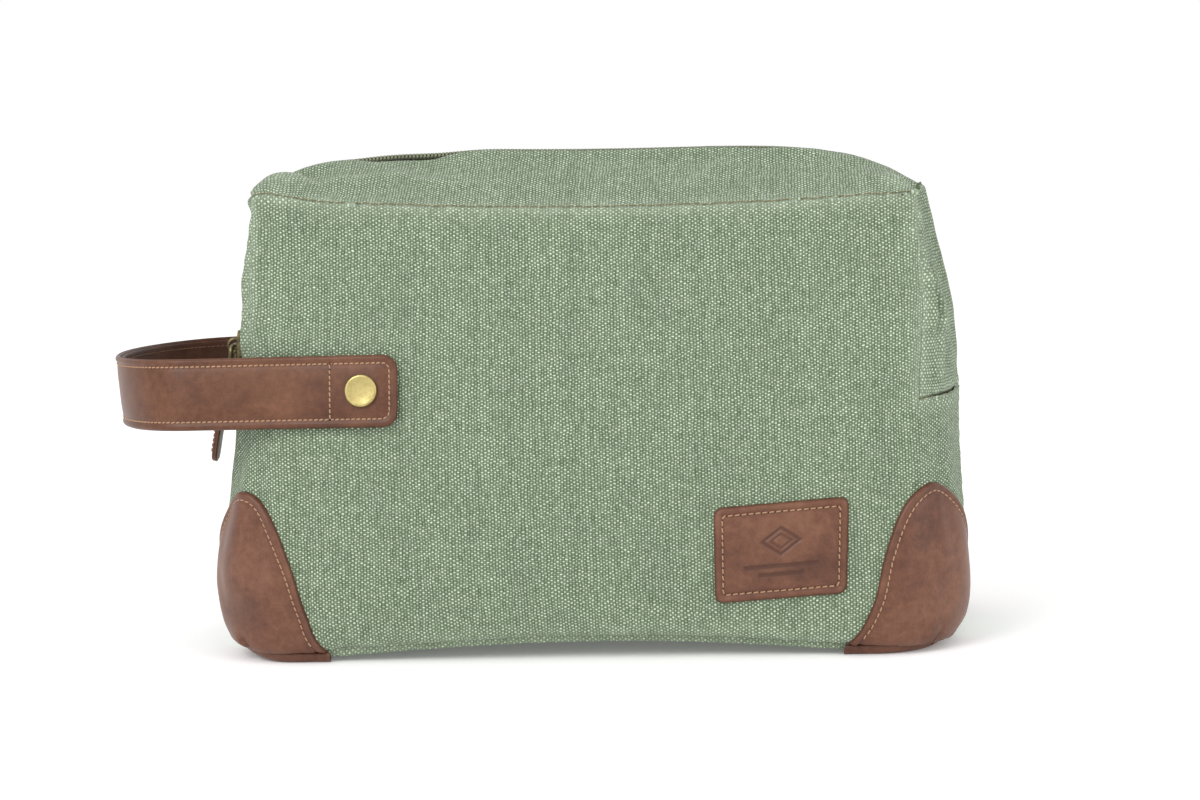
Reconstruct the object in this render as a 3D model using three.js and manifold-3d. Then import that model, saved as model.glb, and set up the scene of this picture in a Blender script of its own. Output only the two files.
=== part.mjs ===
// A small canvas and leather wash bag, built panel by panel.
// Millimetres, +Z up, standing on Z = 0 with its front toward -Y and its handle at -X.

import * as THREE from 'three';
import { mergeVertices } from 'three/addons/utils/BufferGeometryUtils.js';
import Module from 'manifold-3d';

const wasm = await Module();
wasm.setup();

// ---- driving dimensions -------------------------------------------------------------------

// The bag's outer canvas shape at nine heights. left and right are its half-lengths toward the
// handle end and the plain end, and radius rounds the upright corners. The bulges swell the
// middles of the ends and the faces. leftFade is how the handle end's bulge dies away sideways:
// 2 is a round bulge, 1 a tent drawn out by the zip.
const GIRTHS = [
  // height, left, right, halfDepth, radius, leftBulge, rightBulge, faceBulge, leftFade
  [0, 122, 122, 54.5, 20, 0, 0, 0, 2],
  [5, 127, 128, 56.5, 22, 1, 1, 0.8, 2],
  [16, 131, 133.5, 58, 24, 2, 1.5, 2, 2],
  [36, 131.5, 133.5, 58, 25, 3, 3, 3.4, 2],
  [60, 126.5, 129, 56.5, 23, 5.2, 6.5, 4.2, 1.6],
  [90, 121.5, 124.5, 53, 17, 8.4, 9.5, 4, 1.1],
  [122, 120, 123.5, 47, 8, 6.5, 10, 3, 1.1],
  [151, 118, 122, 41.7, 5, 4.5, 4, 1.2, 1.1],
  [163, 116.5, 121, 39.7, 4, 3, 1.5, 0, 1.1],
].map(([height, left, right, halfDepth, radius, leftBulge, rightBulge, faceBulge, leftFade]) => (
  { height, left, right, halfDepth, radius, leftBulge, rightBulge, faceBulge, leftFade }));
const TOP_SAG = 0.0276;           // share of its height the long top edge dips by at mid-length
const TOP_TILT = 0.013;           // the handle end stands taller by this share, the other end lower
const CROWN = 19;                 // the zip ridge above the top edges, at mid-length
const CROWN_POWER = 5;            // how squarely the crown ends over the two ends of the bag
const FACE_CELLS = 12;            // facets along the length
const END_CELLS = 8;              // facets across the depth
const FACE_FLAT = 1 / 2;          // share of the front's facets before its corner arc begins
const END_FLAT = 1 / 2;           // the same for the ends

const GAP = 0.3;                  // air between pieces that touch
const CANVAS = 1.6;               // canvas thickness
const LINING = 1;                 // lining thickness
const LEATHER = 1.4;              // leather patch thickness
const BASE_LIFT = GAP + LEATHER;  // the canvas base rises this much over its leather corners
const BASE_FLAT = 33;             // half-length of the flat middle of the base
const FAR = 250;                  // reach of a cutting tool past the bag

const BASE_SEAM = 3.35;           // height of the seam round the base
const GUSSET_FOOT = 90;           // height at which the zip gusset ends on both ends of the bag
const SLOT_HALF = 8;              // half the opening between the two gusset strips
// The seam between a face panel and the gusset, as half-depths at rising heights.
const GUSSET_SEAM = [[48, GUSSET_FOOT], [44.7, 122], [40.2, 151], [38.9, 158], [38.9, FAR]];

const STRAP = {
  height: 96, half: 12.5, layer: 1.6, backing: 1.5,
  legEnd: 63, bend: 101, pivot: 127, turn: 138, reachTop: 33.5, reachBottom: 31,
  cornerRadius: 5, pivotGap: 0.4,
};
const RIVET = { across: 75.8, capRadius: 5.8, edge: 0.5, dome: 1.5, shank: 1.9, burrRadius: 4.6, burr: 1 };
const RIVET_BORE = 40;                  // length of the cut that makes a rivet's hole
const FACE_LEAN = 11.5 * Math.PI / 180;   // backward lean of the faces at the strap's height

// across and deep place the middle of a corner patch, on the upright corner.
const PATCH = { height: 58.5, half: 24, across: 124, deep: 50.7, reach: 30 };
const BASE_CORNER = { across: 123, deep: 57, radius: 30 };
const LABEL = { across: 70, height: 37.6, width: 46, tall: 32.5, radius: 4, tilt: 3.7 * Math.PI / 180 };
const LABEL_REACH = 40;           // the label's outline is cut from the leather skin this deep

const COIL = { inner: 0.8, outer: 2.6, low: -1.6, high: 0.8 };
const TAPE = { inner: 2.9, outer: 7.7, low: -1.5, high: -0.5 };
const STOP = { low: 92, high: 95, half: 2.6 };

// The straight run of the zip up the handle end, from the gusset's foot to the shoulder.
const RUN = { x: -130, z: 90, lean: Math.atan2(129.9 - 123.5, 151 - 90) };
const SLIDER = { height: 109, long: 12, half: 5, plate: 1.5, neck: 0.5, tail: 4, crown: 2.4, eyeWall: 1.2 };
const LINK = {
  width: 13, tall: 10.8, bar: 1.7, eye: 1.4, standOff: 4.3,
  cornerRadius: 2.2, holeRadius: 0.8, lean: 8 * Math.PI / 180,
};
const TAB = { width: 9, long: 35, thick: 2.2, knuckle: 2.5, lean: 13 * Math.PI / 180 };

// ---- solids, joined and cut -----------------------------------------------------------------

function solidOf(geometry) {
  const bare = new THREE.BufferGeometry();
  bare.setAttribute('position', geometry.getAttribute('position'));
  if (geometry.index) bare.setIndex(geometry.index);
  const welded = mergeVertices(bare, 1e-4);
  const corners = [];
  for (let i = 0; i < welded.index.count; i += 3) {
    const [a, b, c] = [0, 1, 2].map((k) => welded.index.getX(i + k));
    if (a !== b && b !== c && c !== a) corners.push(a, b, c);
  }
  return new wasm.Manifold(new wasm.Mesh({
    numProp: 3,
    vertProperties: new Float32Array(welded.getAttribute('position').array),
    triVerts: new Uint32Array(corners),
  }));
}

function geometryOf(solid) {
  const mesh = solid.getMesh();
  const corners = new Float32Array(mesh.vertProperties);
  const geometry = new THREE.BufferGeometry();
  geometry.setAttribute('position', new THREE.BufferAttribute(corners, 3));
  geometry.setIndex(new THREE.BufferAttribute(new Uint32Array(mesh.triVerts), 1));
  return geometry;
}

function box(x0, x1, y0, y1, z0, z1) {
  const block = new THREE.BoxGeometry(x1 - x0, y1 - y0, z1 - z0);
  return solidOf(block.translate((x0 + x1) / 2, (y0 + y1) / 2, (z0 + z1) / 2));
}

// A flat outline drawn as [y, z] points, run the whole length of the bag.
function lengthwisePrism(points) {
  const outline = new THREE.Shape(points.map(([y, z]) => new THREE.Vector2(y, z)));
  const prism = new THREE.ExtrudeGeometry(outline, { depth: 2 * FAR, bevelEnabled: false });
  prism.translate(0, 0, -FAR);
  // the outline's own x and y become Y and Z, its depth becomes X
  const turn = new THREE.Matrix4().makeBasis(
    new THREE.Vector3(0, 1, 0), new THREE.Vector3(0, 0, 1), new THREE.Vector3(1, 0, 0));
  return solidOf(prism.applyMatrix4(turn));
}

// An outline drawn in X and Z, run from y0 to y1.
function crosswisePrism(outline, y0, y1) {
  const prism = new THREE.ExtrudeGeometry(outline, { depth: y1 - y0, bevelEnabled: false, curveSegments: 8 });
  prism.rotateX(Math.PI / 2);
  return solidOf(prism.translate(0, y1, 0));
}

function roundedRectangle(x0, x1, y0, y1, radius) {
  const outline = new THREE.Shape();
  outline.moveTo(x0 + radius, y0);
  outline.lineTo(x1 - radius, y0);
  outline.absarc(x1 - radius, y0 + radius, radius, -Math.PI / 2, 0);
  outline.lineTo(x1, y1 - radius);
  outline.absarc(x1 - radius, y1 - radius, radius, 0, Math.PI / 2);
  outline.lineTo(x0 + radius, y1);
  outline.absarc(x0 + radius, y1 - radius, radius, Math.PI / 2, Math.PI);
  outline.lineTo(x0, y0 + radius);
  outline.absarc(x0 + radius, y0 + radius, radius, Math.PI, 1.5 * Math.PI);
  return outline;
}

// ---- the bag's shape --------------------------------------------------------------------------

// The girth at a place between the listed ones; place runs from 0 at the base to 1 at the top.
function girthAt(place) {
  const last = GIRTHS.length - 1;
  const step = Math.min(Math.floor(place * last), last - 1);
  const share = place * last - step;
  const girth = {};
  for (const key of Object.keys(GIRTHS[0])) {
    girth[key] = THREE.MathUtils.lerp(GIRTHS[step][key], GIRTHS[step + 1][key], share);
  }
  return girth;
}

function halfLengthAt(x, girth) {
  return x < 0 ? girth.left : girth.right;
}

// A place (s, t) on the edge of a unit square, moved to the rounded rectangle of the girth.
function planPoint(s, t, girth, offset) {
  const radius = girth.radius + offset;
  const straightX = halfLengthAt(s, girth) - girth.radius;
  const straightY = girth.halfDepth - girth.radius;
  const [x, y] = [Math.abs(s), Math.abs(t)];
  const onFace = y >= x;
  const along = onFace ? x / FACE_FLAT : y / END_FLAT;
  const flat = onFace ? FACE_FLAT : END_FLAT;
  const turn = Math.PI / 4 * Math.max(0, ((onFace ? x : y) - flat) / (1 - flat));
  const near = Math.min(along, 1);
  const plan = onFace
    ? new THREE.Vector2(near * straightX + radius * Math.sin(turn), straightY + radius * Math.cos(turn))
    : new THREE.Vector2(straightX + radius * Math.cos(turn), near * straightY + radius * Math.sin(turn));
  if (onFace) plan.y += faceSwell(Math.sign(s) * plan.x, girth);
  else plan.x += endSwell(s, plan.y, girth);
  return plan.multiply(new THREE.Vector2(Math.sign(s), Math.sign(t)));
}

function faceSwell(x, girth) {
  const reach = halfLengthAt(x, girth) - girth.radius / 2;
  return girth.faceBulge * Math.max(0, 1 - (x / reach) ** 2);
}

// s is -1 at the handle end and 1 at the plain end.
function endSwell(s, y, girth) {
  const [bulge, fade] = s < 0 ? [girth.leftBulge, girth.leftFade] : [girth.rightBulge, 2];
  const reach = girth.halfDepth - girth.radius / 2;
  return bulge * Math.max(0, 1 - (y / reach) ** fade);
}

// The share of its height that a place keeps: the long edges dip and the handle end stands taller.
function heightFactor(x, girth) {
  const along = THREE.MathUtils.clamp(x / halfLengthAt(x, girth), -1, 1);
  return 1 - TOP_SAG * (1 - along ** 2) - TOP_TILT * along;
}

// The base rises a little toward both ends, over the leather.
function baseLift(x) {
  return BASE_LIFT * THREE.MathUtils.clamp((Math.abs(x) - BASE_FLAT) / BASE_FLAT, 0, 1);
}

// The roof between the long top edges: highest along the zip, falling away at the ends.
function crownHeight(x, y, girth) {
  const along = Math.min(Math.abs(x) / halfLengthAt(x, girth), 1);
  const across = Math.min(Math.abs(y) / girth.halfDepth, 1);
  return CROWN * (1 - across ** 2) * (1 - along ** CROWN_POWER);
}

// A place (u, v) anywhere in the unit square, spread evenly over the rounded rectangle.
function spreadPoint(u, v, girth, offset) {
  const [s, t] = [u < 0 ? -1 : 1, v < 0 ? -1 : 1];
  const face = planPoint(u, t, girth, offset);
  const end = planPoint(s, v, girth, offset);
  const corner = planPoint(s, t, girth, offset);
  return new THREE.Vector2(face.x * end.x / corner.x, end.y * face.y / corner.y);
}

// A corner (u, v, w) of the unit box, moved to the bag's surface grown by offset.
function bagPoint(u, v, w, offset) {
  const girth = girthAt((w + 1) / 2);
  const plan = spreadPoint(u, v, girth, offset);
  let z = girth.height * heightFactor(plan.x, girth) + offset * w;
  if (w === 1) z += crownHeight(plan.x, plan.y, girth);
  if (w === -1) z += baseLift(plan.x);
  return new THREE.Vector3(plan.x, plan.y, z);
}

function bagForm(offset) {
  const form = new THREE.BoxGeometry(2, 2, 2, FACE_CELLS, END_CELLS, GIRTHS.length - 1);
  const corners = form.getAttribute('position');
  for (let i = 0; i < corners.count; i += 1) {
    const place = bagPoint(corners.getX(i), corners.getY(i), corners.getZ(i), offset);
    corners.setXYZ(i, place.x, place.y, place.z);
  }
  return solidOf(form);
}

// A sheet that follows the bag between two offsets from its canvas surface.
function bagSkin(outer, inner) {
  return bagForm(outer).subtract(bagForm(inner));
}

const canvasSkin = bagSkin(0, -CANVAS);
const leatherSkin = bagSkin(GAP + LEATHER, GAP);

// ---- canvas panels ------------------------------------------------------------------------

function rivetHole(side) {
  const radius = RIVET.shank + GAP;
  const bore = new THREE.CylinderGeometry(radius, radius, RIVET_BORE, 12);
  return solidOf(bore.applyMatrix4(rivetPlacement(side)));
}

// side is -1 for the front and 1 for the back.
function facePanel(side) {
  const seam = GUSSET_SEAM.map(([y, z]) => [side * (y + GAP), Math.max(z - GAP / 2, 0)]);
  const region = lengthwisePrism([
    [side * GAP / 2, BASE_SEAM + GAP / 2],
    [side * GAP / 2, GUSSET_FOOT - GAP / 2],
    ...seam,
    [side * FAR, FAR],
    [side * FAR, BASE_SEAM + GAP / 2],
  ]);
  return canvasSkin.intersect(region).subtract(rivetHole(side));
}

function gussetStrip(side) {
  const seam = GUSSET_SEAM.map(([y, z]) => [side * y, z + GAP / 2]);
  const region = lengthwisePrism([
    [side * SLOT_HALF, GUSSET_FOOT + GAP / 2],
    ...seam,
    [side * SLOT_HALF, FAR],
  ]);
  return canvasSkin.intersect(region);
}

function bottomPanel() {
  return canvasSkin.intersect(box(-FAR, FAR, -FAR, FAR, -FAR, BASE_SEAM - GAP / 2));
}

// The lining follows the canvas inside and leaves the zip opening free.
function lining() {
  const outer = -CANVAS - GAP;
  const opening = box(-FAR, FAR, -SLOT_HALF, SLOT_HALF, GUSSET_FOOT, FAR);
  return bagSkin(outer, outer - LINING).subtract(opening).subtract(rivetHole(-1)).subtract(rivetHole(1));
}

// ---- leather pieces -------------------------------------------------------------------------

// A corner patch is half an ellipse, highest on the upright corner, folded onto both walls.
function cornerPatch(sideX, sideY) {
  const outline = new THREE.Shape();
  const foot = BASE_SEAM + GAP / 2;
  const steps = 12;
  for (let i = 0; i <= steps; i += 1) {
    const angle = Math.PI * i / steps;
    const across = PATCH.half * Math.cos(angle);
    const height = foot + (PATCH.height - foot) * Math.sin(angle);
    if (i === 0) outline.moveTo(across, height);
    else outline.lineTo(across, height);
  }
  const prism = new THREE.ExtrudeGeometry(outline, { depth: 2 * PATCH.reach, bevelEnabled: false });
  prism.translate(0, 0, -PATCH.reach);
  prism.rotateX(Math.PI / 2);
  prism.rotateZ(sideX * sideY * -Math.PI / 4);
  prism.translate(sideX * PATCH.across, sideY * PATCH.deep, 0);
  return leatherSkin.intersect(solidOf(prism));
}

function baseCorner(sideX, sideY) {
  const disc = new THREE.CylinderGeometry(BASE_CORNER.radius, BASE_CORNER.radius, 2 * BASE_SEAM, 24);
  disc.rotateX(Math.PI / 2);
  disc.translate(sideX * BASE_CORNER.across, sideY * BASE_CORNER.deep, -GAP / 2);
  return leatherSkin.intersect(solidOf(disc));
}

function labelPatch() {
  const outline = roundedRectangle(
    -LABEL.width / 2, LABEL.width / 2, -LABEL.tall / 2, LABEL.tall / 2, LABEL.radius);
  const extrusion = { depth: LABEL_REACH, bevelEnabled: false, curveSegments: 4 };
  const prism = new THREE.ExtrudeGeometry(outline, extrusion);
  prism.rotateZ(LABEL.tilt);
  prism.rotateX(Math.PI / 2);
  prism.translate(LABEL.across, -LABEL_REACH, LABEL.height);
  return leatherSkin.intersect(solidOf(prism));
}

// ---- carrying strap ---------------------------------------------------------------------------

// Half-depth of the canvas face at a length and a height, where the strap lies on it.
function faceDepth(x, z) {
  const level = GIRTHS.find(({ height }) => height === GUSSET_FOOT);
  const wanted = z / heightFactor(x, level);
  const step = GIRTHS.findIndex((girth) => girth.height > wanted) - 1;
  const share = (wanted - GIRTHS[step].height) / (GIRTHS[step + 1].height - GIRTHS[step].height);
  const girth = girthAt((step + share) / (GIRTHS.length - 1));
  return girth.halfDepth + faceSwell(x, girth);
}

// Stations along the strap: 0 to 1 on the leg, 1 to 2 on the straight, 2 to 3 round the half loop.
function strapPlan(station, height) {
  const rise = (height - STRAP.height + STRAP.half) / (2 * STRAP.half);
  const reach = THREE.MathUtils.lerp(STRAP.reachBottom, STRAP.reachTop, rise);
  if (station <= 1) {
    const x = THREE.MathUtils.lerp(-STRAP.legEnd, -STRAP.bend, station);
    return new THREE.Vector2(x, -faceDepth(x, height));
  }
  const depth = faceDepth(-STRAP.bend, height);
  if (station <= 2) {
    return new THREE.Vector2(THREE.MathUtils.lerp(-STRAP.bend, -STRAP.turn, station - 1), -depth);
  }
  const angle = (station - 2) * Math.PI / 2;
  return new THREE.Vector2(-STRAP.turn - reach * Math.sin(angle), -depth * Math.cos(angle));
}

// A strap layer between two stations; stations past 3 mirror onto the back of the bag.
function strapBand(from, to, cells, low, high) {
  const band = new THREE.BoxGeometry(1, 1, 1, cells, 1, 2);
  const corners = band.getAttribute('position');
  for (let i = 0; i < corners.count; i += 1) {
    const station = THREE.MathUtils.lerp(to, from, corners.getX(i) + 0.5);
    const offset = THREE.MathUtils.lerp(high, low, corners.getY(i) + 0.5);
    const height = STRAP.height + corners.getZ(i) * 2 * STRAP.half;
    const place = strapStation(station, height, offset);
    corners.setXYZ(i, place.x, place.y, height);
  }
  return solidOf(band);
}

function strapStation(station, height, offset) {
  const mirrored = station > 3;
  const here = mirrored ? 6 - station : station;
  const step = 0.01;
  const behind = strapPlan(Math.max(here - step, 0), height);
  const ahead = here + step > 3 ? new THREE.Vector2(behind.x, -behind.y) : strapPlan(here + step, height);
  const along = ahead.sub(behind).normalize();
  const place = strapPlan(here, height);
  place.x += along.y * -offset;
  place.y += along.x * offset;
  if (mirrored) place.y *= -1;
  return place;
}

// The leg's outline: rounded corners at its sewn end, a half disc where the free loop begins.
function legOutline() {
  const { height, half, legEnd, pivot, cornerRadius } = STRAP;
  const outline = new THREE.Shape();
  outline.moveTo(-pivot, height - half);
  outline.lineTo(-legEnd - cornerRadius, height - half);
  outline.absarc(-legEnd - cornerRadius, height - half + cornerRadius, cornerRadius, -Math.PI / 2, 0);
  outline.absarc(-legEnd - cornerRadius, height + half - cornerRadius, cornerRadius, 0, Math.PI / 2);
  outline.lineTo(-pivot, height + half);
  outline.absarc(-pivot, height, half, Math.PI / 2, 1.5 * Math.PI);
  return outline;
}

function strapLeg(side, low, high) {
  const ends = side < 0 ? [0, 2] : [4, 6];
  const band = strapBand(ends[0], ends[1], 6, low, high);
  return band.intersect(crosswisePrism(legOutline(), -FAR, FAR)).subtract(rivetHole(side));
}

function strapLoop(low, high) {
  const start = 1 + (STRAP.pivot - STRAP.bend) / (STRAP.turn - STRAP.bend);
  const band = strapBand(start, 6 - start, 18, low, high);
  const radius = STRAP.half + STRAP.pivotGap;
  const pivot = new THREE.CylinderGeometry(radius, radius, 2 * FAR, 24);
  return band.subtract(solidOf(pivot.translate(-STRAP.pivot, 0, STRAP.height)));
}

const BACKING_LOW = 2 * GAP;
const BACKING_HIGH = BACKING_LOW + STRAP.backing;
const OUTER_LOW = BACKING_HIGH + GAP;
const OUTER_HIGH = OUTER_LOW + STRAP.layer;

// Puts a rivet drawn along +Y, with its head outward, square to the leaning face.
function rivetPlacement(side) {
  const out = new THREE.Vector3(0, side * Math.cos(FACE_LEAN), Math.sin(FACE_LEAN));
  const turn = new THREE.Quaternion().setFromUnitVectors(new THREE.Vector3(0, 1, 0), out);
  const foot = new THREE.Vector3(-RIVET.across, side * faceDepth(-RIVET.across, STRAP.height), STRAP.height);
  return new THREE.Matrix4().compose(foot, turn, new THREE.Vector3(1, 1, 1));
}

// The domed cap and the shank that goes through strap, canvas and lining.
function rivetCap(side) {
  const seat = OUTER_HIGH + GAP;
  const foot = -(CANVAS + GAP + LINING + GAP);
  const { capRadius, edge, dome, shank } = RIVET;
  const profile = [
    [0, foot], [shank, foot], [shank, seat], [capRadius, seat], [capRadius, seat + edge],
    [capRadius * 0.85, seat + dome * 0.75], [capRadius * 0.5, seat + dome * 0.96], [0, seat + dome],
  ].map(([r, y]) => new THREE.Vector2(r, y));
  return solidOf(new THREE.LatheGeometry(profile, 16).applyMatrix4(rivetPlacement(side)));
}

function rivetBurr(side) {
  const high = -(CANVAS + GAP + LINING + GAP) - GAP;
  const burr = new THREE.CylinderGeometry(RIVET.burrRadius, RIVET.burrRadius, RIVET.burr, 14);
  burr.translate(0, high - RIVET.burr / 2, 0);
  return solidOf(burr.applyMatrix4(rivetPlacement(side)));
}

// ---- zip --------------------------------------------------------------------------------------

// A strip of the zip between two half-widths, following the bag's middle line over the top.
function zipStrip(side, strip) {
  const y0 = Math.min(side * strip.inner, side * strip.outer);
  const y1 = Math.max(side * strip.inner, side * strip.outer);
  const low = strip === COIL ? STOP.high + GAP : GUSSET_FOOT + 2;
  return bagSkin(strip.high, strip.low).intersect(box(-FAR, FAR, y0, y1, low, FAR));
}

function endStop(side) {
  const [x0, x1] = side < 0 ? [-FAR, 0] : [0, FAR];
  return bagSkin(COIL.high, COIL.low).intersect(box(x0, x1, -STOP.half, STOP.half, STOP.low, STOP.high));
}

// Turns something drawn at the origin, outward along -X, onto the zip's straight run.
function onRun(geometry, height) {
  geometry.rotateY(RUN.lean);
  return geometry.translate(RUN.x + (height - RUN.z) * Math.tan(RUN.lean), 0, height);
}

function runBlock(offsetLow, offsetHigh, half, long) {
  const block = new THREE.BoxGeometry(offsetHigh - offsetLow, 2 * half, long);
  return solidOf(onRun(block.translate(-(offsetLow + offsetHigh) / 2, 0, 0), SLIDER.height));
}

// Upper and lower plates joined through the coil's middle, with an eye for the pull on top.
function sliderBody() {
  const plateLow = COIL.high + GAP;
  const plateHigh = plateLow + SLIDER.plate;
  const tailHigh = COIL.low - 3 * GAP;
  const tailLow = tailHigh - SLIDER.plate;
  const eyeRadius = LINK.eye + SLIDER.eyeWall;
  const sunk = 1;                 // the neck and the eye's stem are let into the plates
  const eye = new THREE.CylinderGeometry(eyeRadius, eyeRadius, SLIDER.crown, 14);
  const hole = new THREE.CylinderGeometry(LINK.eye, LINK.eye, 3 * SLIDER.crown, 14);
  const foot = new THREE.BoxGeometry(LINK.standOff - plateHigh + sunk, SLIDER.crown, 2 * eyeRadius);
  eye.translate(-LINK.standOff, 0, 0);
  hole.translate(-LINK.standOff, 0, 0);
  foot.translate(-(LINK.standOff + plateHigh - sunk) / 2, 0, 0);
  const [crown, stem, bore] = [eye, foot, hole]
    .map((geometry) => solidOf(onRun(geometry, SLIDER.height)));
  return runBlock(plateLow, plateHigh, SLIDER.half, SLIDER.long)
    .add(runBlock(tailLow, tailHigh, SLIDER.tail, SLIDER.long))
    .add(runBlock(tailLow + sunk / 2, plateHigh - sunk / 2, SLIDER.neck, SLIDER.long - 2 * sunk))
    .add(crown)
    .add(stem)
    .subtract(bore);
}

// Where the pull link turns in the slider's eye, and where the tab turns on the link.
function linkPivot() {
  const eye = new THREE.BufferGeometry().setFromPoints([new THREE.Vector3(-LINK.standOff, 0, 0)]);
  onRun(eye, SLIDER.height);
  return new THREE.Vector3().fromBufferAttribute(eye.getAttribute('position'), 0);
}

function tabPivot() {
  const drop = LINK.tall - LINK.bar;
  return linkPivot().add(new THREE.Vector3(-drop * Math.sin(LINK.lean), 0, -drop * Math.cos(LINK.lean)));
}

// A flat metal loop hanging from the slider's eye.
function pullLink() {
  const { bar, cornerRadius, holeRadius } = LINK;
  const half = LINK.width / 2;
  const top = bar / 2;
  const foot = top - LINK.tall;
  const outline = roundedRectangle(-half, half, foot, top, cornerRadius);
  outline.holes.push(roundedRectangle(bar - half, half - bar, foot + bar, top - bar, holeRadius));
  const link = new THREE.ExtrudeGeometry(outline, { depth: bar, bevelEnabled: false, curveSegments: 4 });
  link.translate(0, 0, -LINK.bar / 2);
  link.rotateX(Math.PI / 2);
  link.rotateZ(Math.PI / 2);
  link.rotateY(LINK.lean);
  const pivot = linkPivot();
  return solidOf(link.translate(pivot.x, pivot.y, pivot.z));
}

// A leather strip folded round the link's lower bar and sewn to itself.
function pullTab() {
  const { width, long, thick, knuckle, lean } = TAB;
  const half = thick / 2;
  const meet = Math.sqrt(knuckle ** 2 - half ** 2);
  const outline = new THREE.Shape();
  outline.moveTo(-half, -meet);
  outline.absarc(0, 0, knuckle, Math.atan2(-meet, -half), Math.atan2(-meet, half), true);
  outline.lineTo(half, -long);
  outline.lineTo(-half, -long);
  const hole = new THREE.Path();
  hole.absarc(0, 0, LINK.eye, 0, 2 * Math.PI);
  outline.holes.push(hole);
  const tab = new THREE.ExtrudeGeometry(outline, { depth: width, bevelEnabled: false, curveSegments: 6 });
  tab.translate(0, 0, -width / 2);
  tab.rotateX(Math.PI / 2);
  tab.rotateY(lean);
  const pivot = tabPivot();
  return solidOf(tab.translate(pivot.x, pivot.y, pivot.z));
}

// ---- the assembly -----------------------------------------------------------------------------

const FINISHES = {
  canvas: { color: 0x8a9c82, roughness: 0.95, metalness: 0 },
  lining: { color: 0xb9b29c, roughness: 0.9, metalness: 0 },
  leather: { color: 0x7a5240, roughness: 0.6, metalness: 0 },
  tape: { color: 0x6d7560, roughness: 0.9, metalness: 0 },
  coil: { color: 0x8f8a66, roughness: 0.5, metalness: 0 },
  brass: { color: 0xb59a55, roughness: 0.35, metalness: 1 },
};

const bag = new THREE.Group();
bag.name = 'wash_bag';

function addPiece(name, solid, finish) {
  const piece = new THREE.Mesh(geometryOf(solid), new THREE.MeshStandardMaterial(FINISHES[finish]));
  piece.name = name;
  bag.add(piece);
}

for (const [side, face] of [[-1, 'front'], [1, 'back']]) {
  addPiece(`${face}_panel`, facePanel(side), 'canvas');
  addPiece(`gusset_${face}`, gussetStrip(side), 'canvas');
  addPiece(`strap_leg_${face}`, strapLeg(side, OUTER_LOW, OUTER_HIGH), 'leather');
  addPiece(`strap_backing_${face}`, strapLeg(side, BACKING_LOW, BACKING_HIGH), 'leather');
  addPiece(`rivet_cap_${face}`, rivetCap(side), 'brass');
  addPiece(`rivet_burr_${face}`, rivetBurr(side), 'brass');
  addPiece(`zip_tape_${face}`, zipStrip(side, TAPE), 'tape');
  addPiece(`zip_coil_${face}`, zipStrip(side, COIL), 'coil');
  for (const [sideX, end] of [[-1, 'left'], [1, 'right']]) {
    addPiece(`corner_patch_${face}_${end}`, cornerPatch(sideX, side), 'leather');
    addPiece(`base_corner_${face}_${end}`, baseCorner(sideX, side), 'leather');
  }
}
addPiece('bottom_panel', bottomPanel(), 'canvas');
addPiece('lining', lining(), 'lining');
addPiece('label_patch', labelPatch(), 'leather');
addPiece('strap_loop', strapLoop(OUTER_LOW, OUTER_HIGH), 'leather');
addPiece('strap_loop_backing', strapLoop(BACKING_LOW, BACKING_HIGH), 'leather');
addPiece('zip_stop_left', endStop(-1), 'brass');
addPiece('zip_stop_right', endStop(1), 'brass');
addPiece('slider_body', sliderBody(), 'brass');
addPiece('pull_link', pullLink(), 'brass');
addPiece('pull_tab', pullTab(), 'leather');

export default bag;
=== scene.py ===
"""Looks for the canvas and leather wash bag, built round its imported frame.

The shape is worked out in millimetres and turned into metres when a mesh is made.
+Z is up, the front faces -Y, and the carrying strap is at the -X end.
"""

import math

import bpy
import numpy as np
from mathutils import Matrix, Vector
from mathutils.bvhtree import BVHTree
from mathutils.kdtree import KDTree


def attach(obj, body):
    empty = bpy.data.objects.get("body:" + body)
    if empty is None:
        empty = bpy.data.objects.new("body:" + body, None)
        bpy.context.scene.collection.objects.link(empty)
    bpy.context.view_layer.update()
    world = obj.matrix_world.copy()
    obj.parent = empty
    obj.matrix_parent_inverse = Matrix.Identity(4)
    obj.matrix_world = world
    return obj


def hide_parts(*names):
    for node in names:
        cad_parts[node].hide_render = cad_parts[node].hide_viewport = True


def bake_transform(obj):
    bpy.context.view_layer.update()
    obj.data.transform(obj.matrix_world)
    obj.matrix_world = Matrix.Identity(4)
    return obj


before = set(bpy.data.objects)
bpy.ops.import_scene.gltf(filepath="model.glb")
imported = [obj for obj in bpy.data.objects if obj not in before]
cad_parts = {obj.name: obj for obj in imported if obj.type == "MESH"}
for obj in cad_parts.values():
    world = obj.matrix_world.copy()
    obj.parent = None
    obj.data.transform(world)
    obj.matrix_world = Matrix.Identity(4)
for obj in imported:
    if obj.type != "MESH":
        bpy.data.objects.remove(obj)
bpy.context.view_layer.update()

MM = 0.001
RANDOM = np.random.default_rng(7)

# ---- the bag's shape, in millimetres ----------------------------------------

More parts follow.
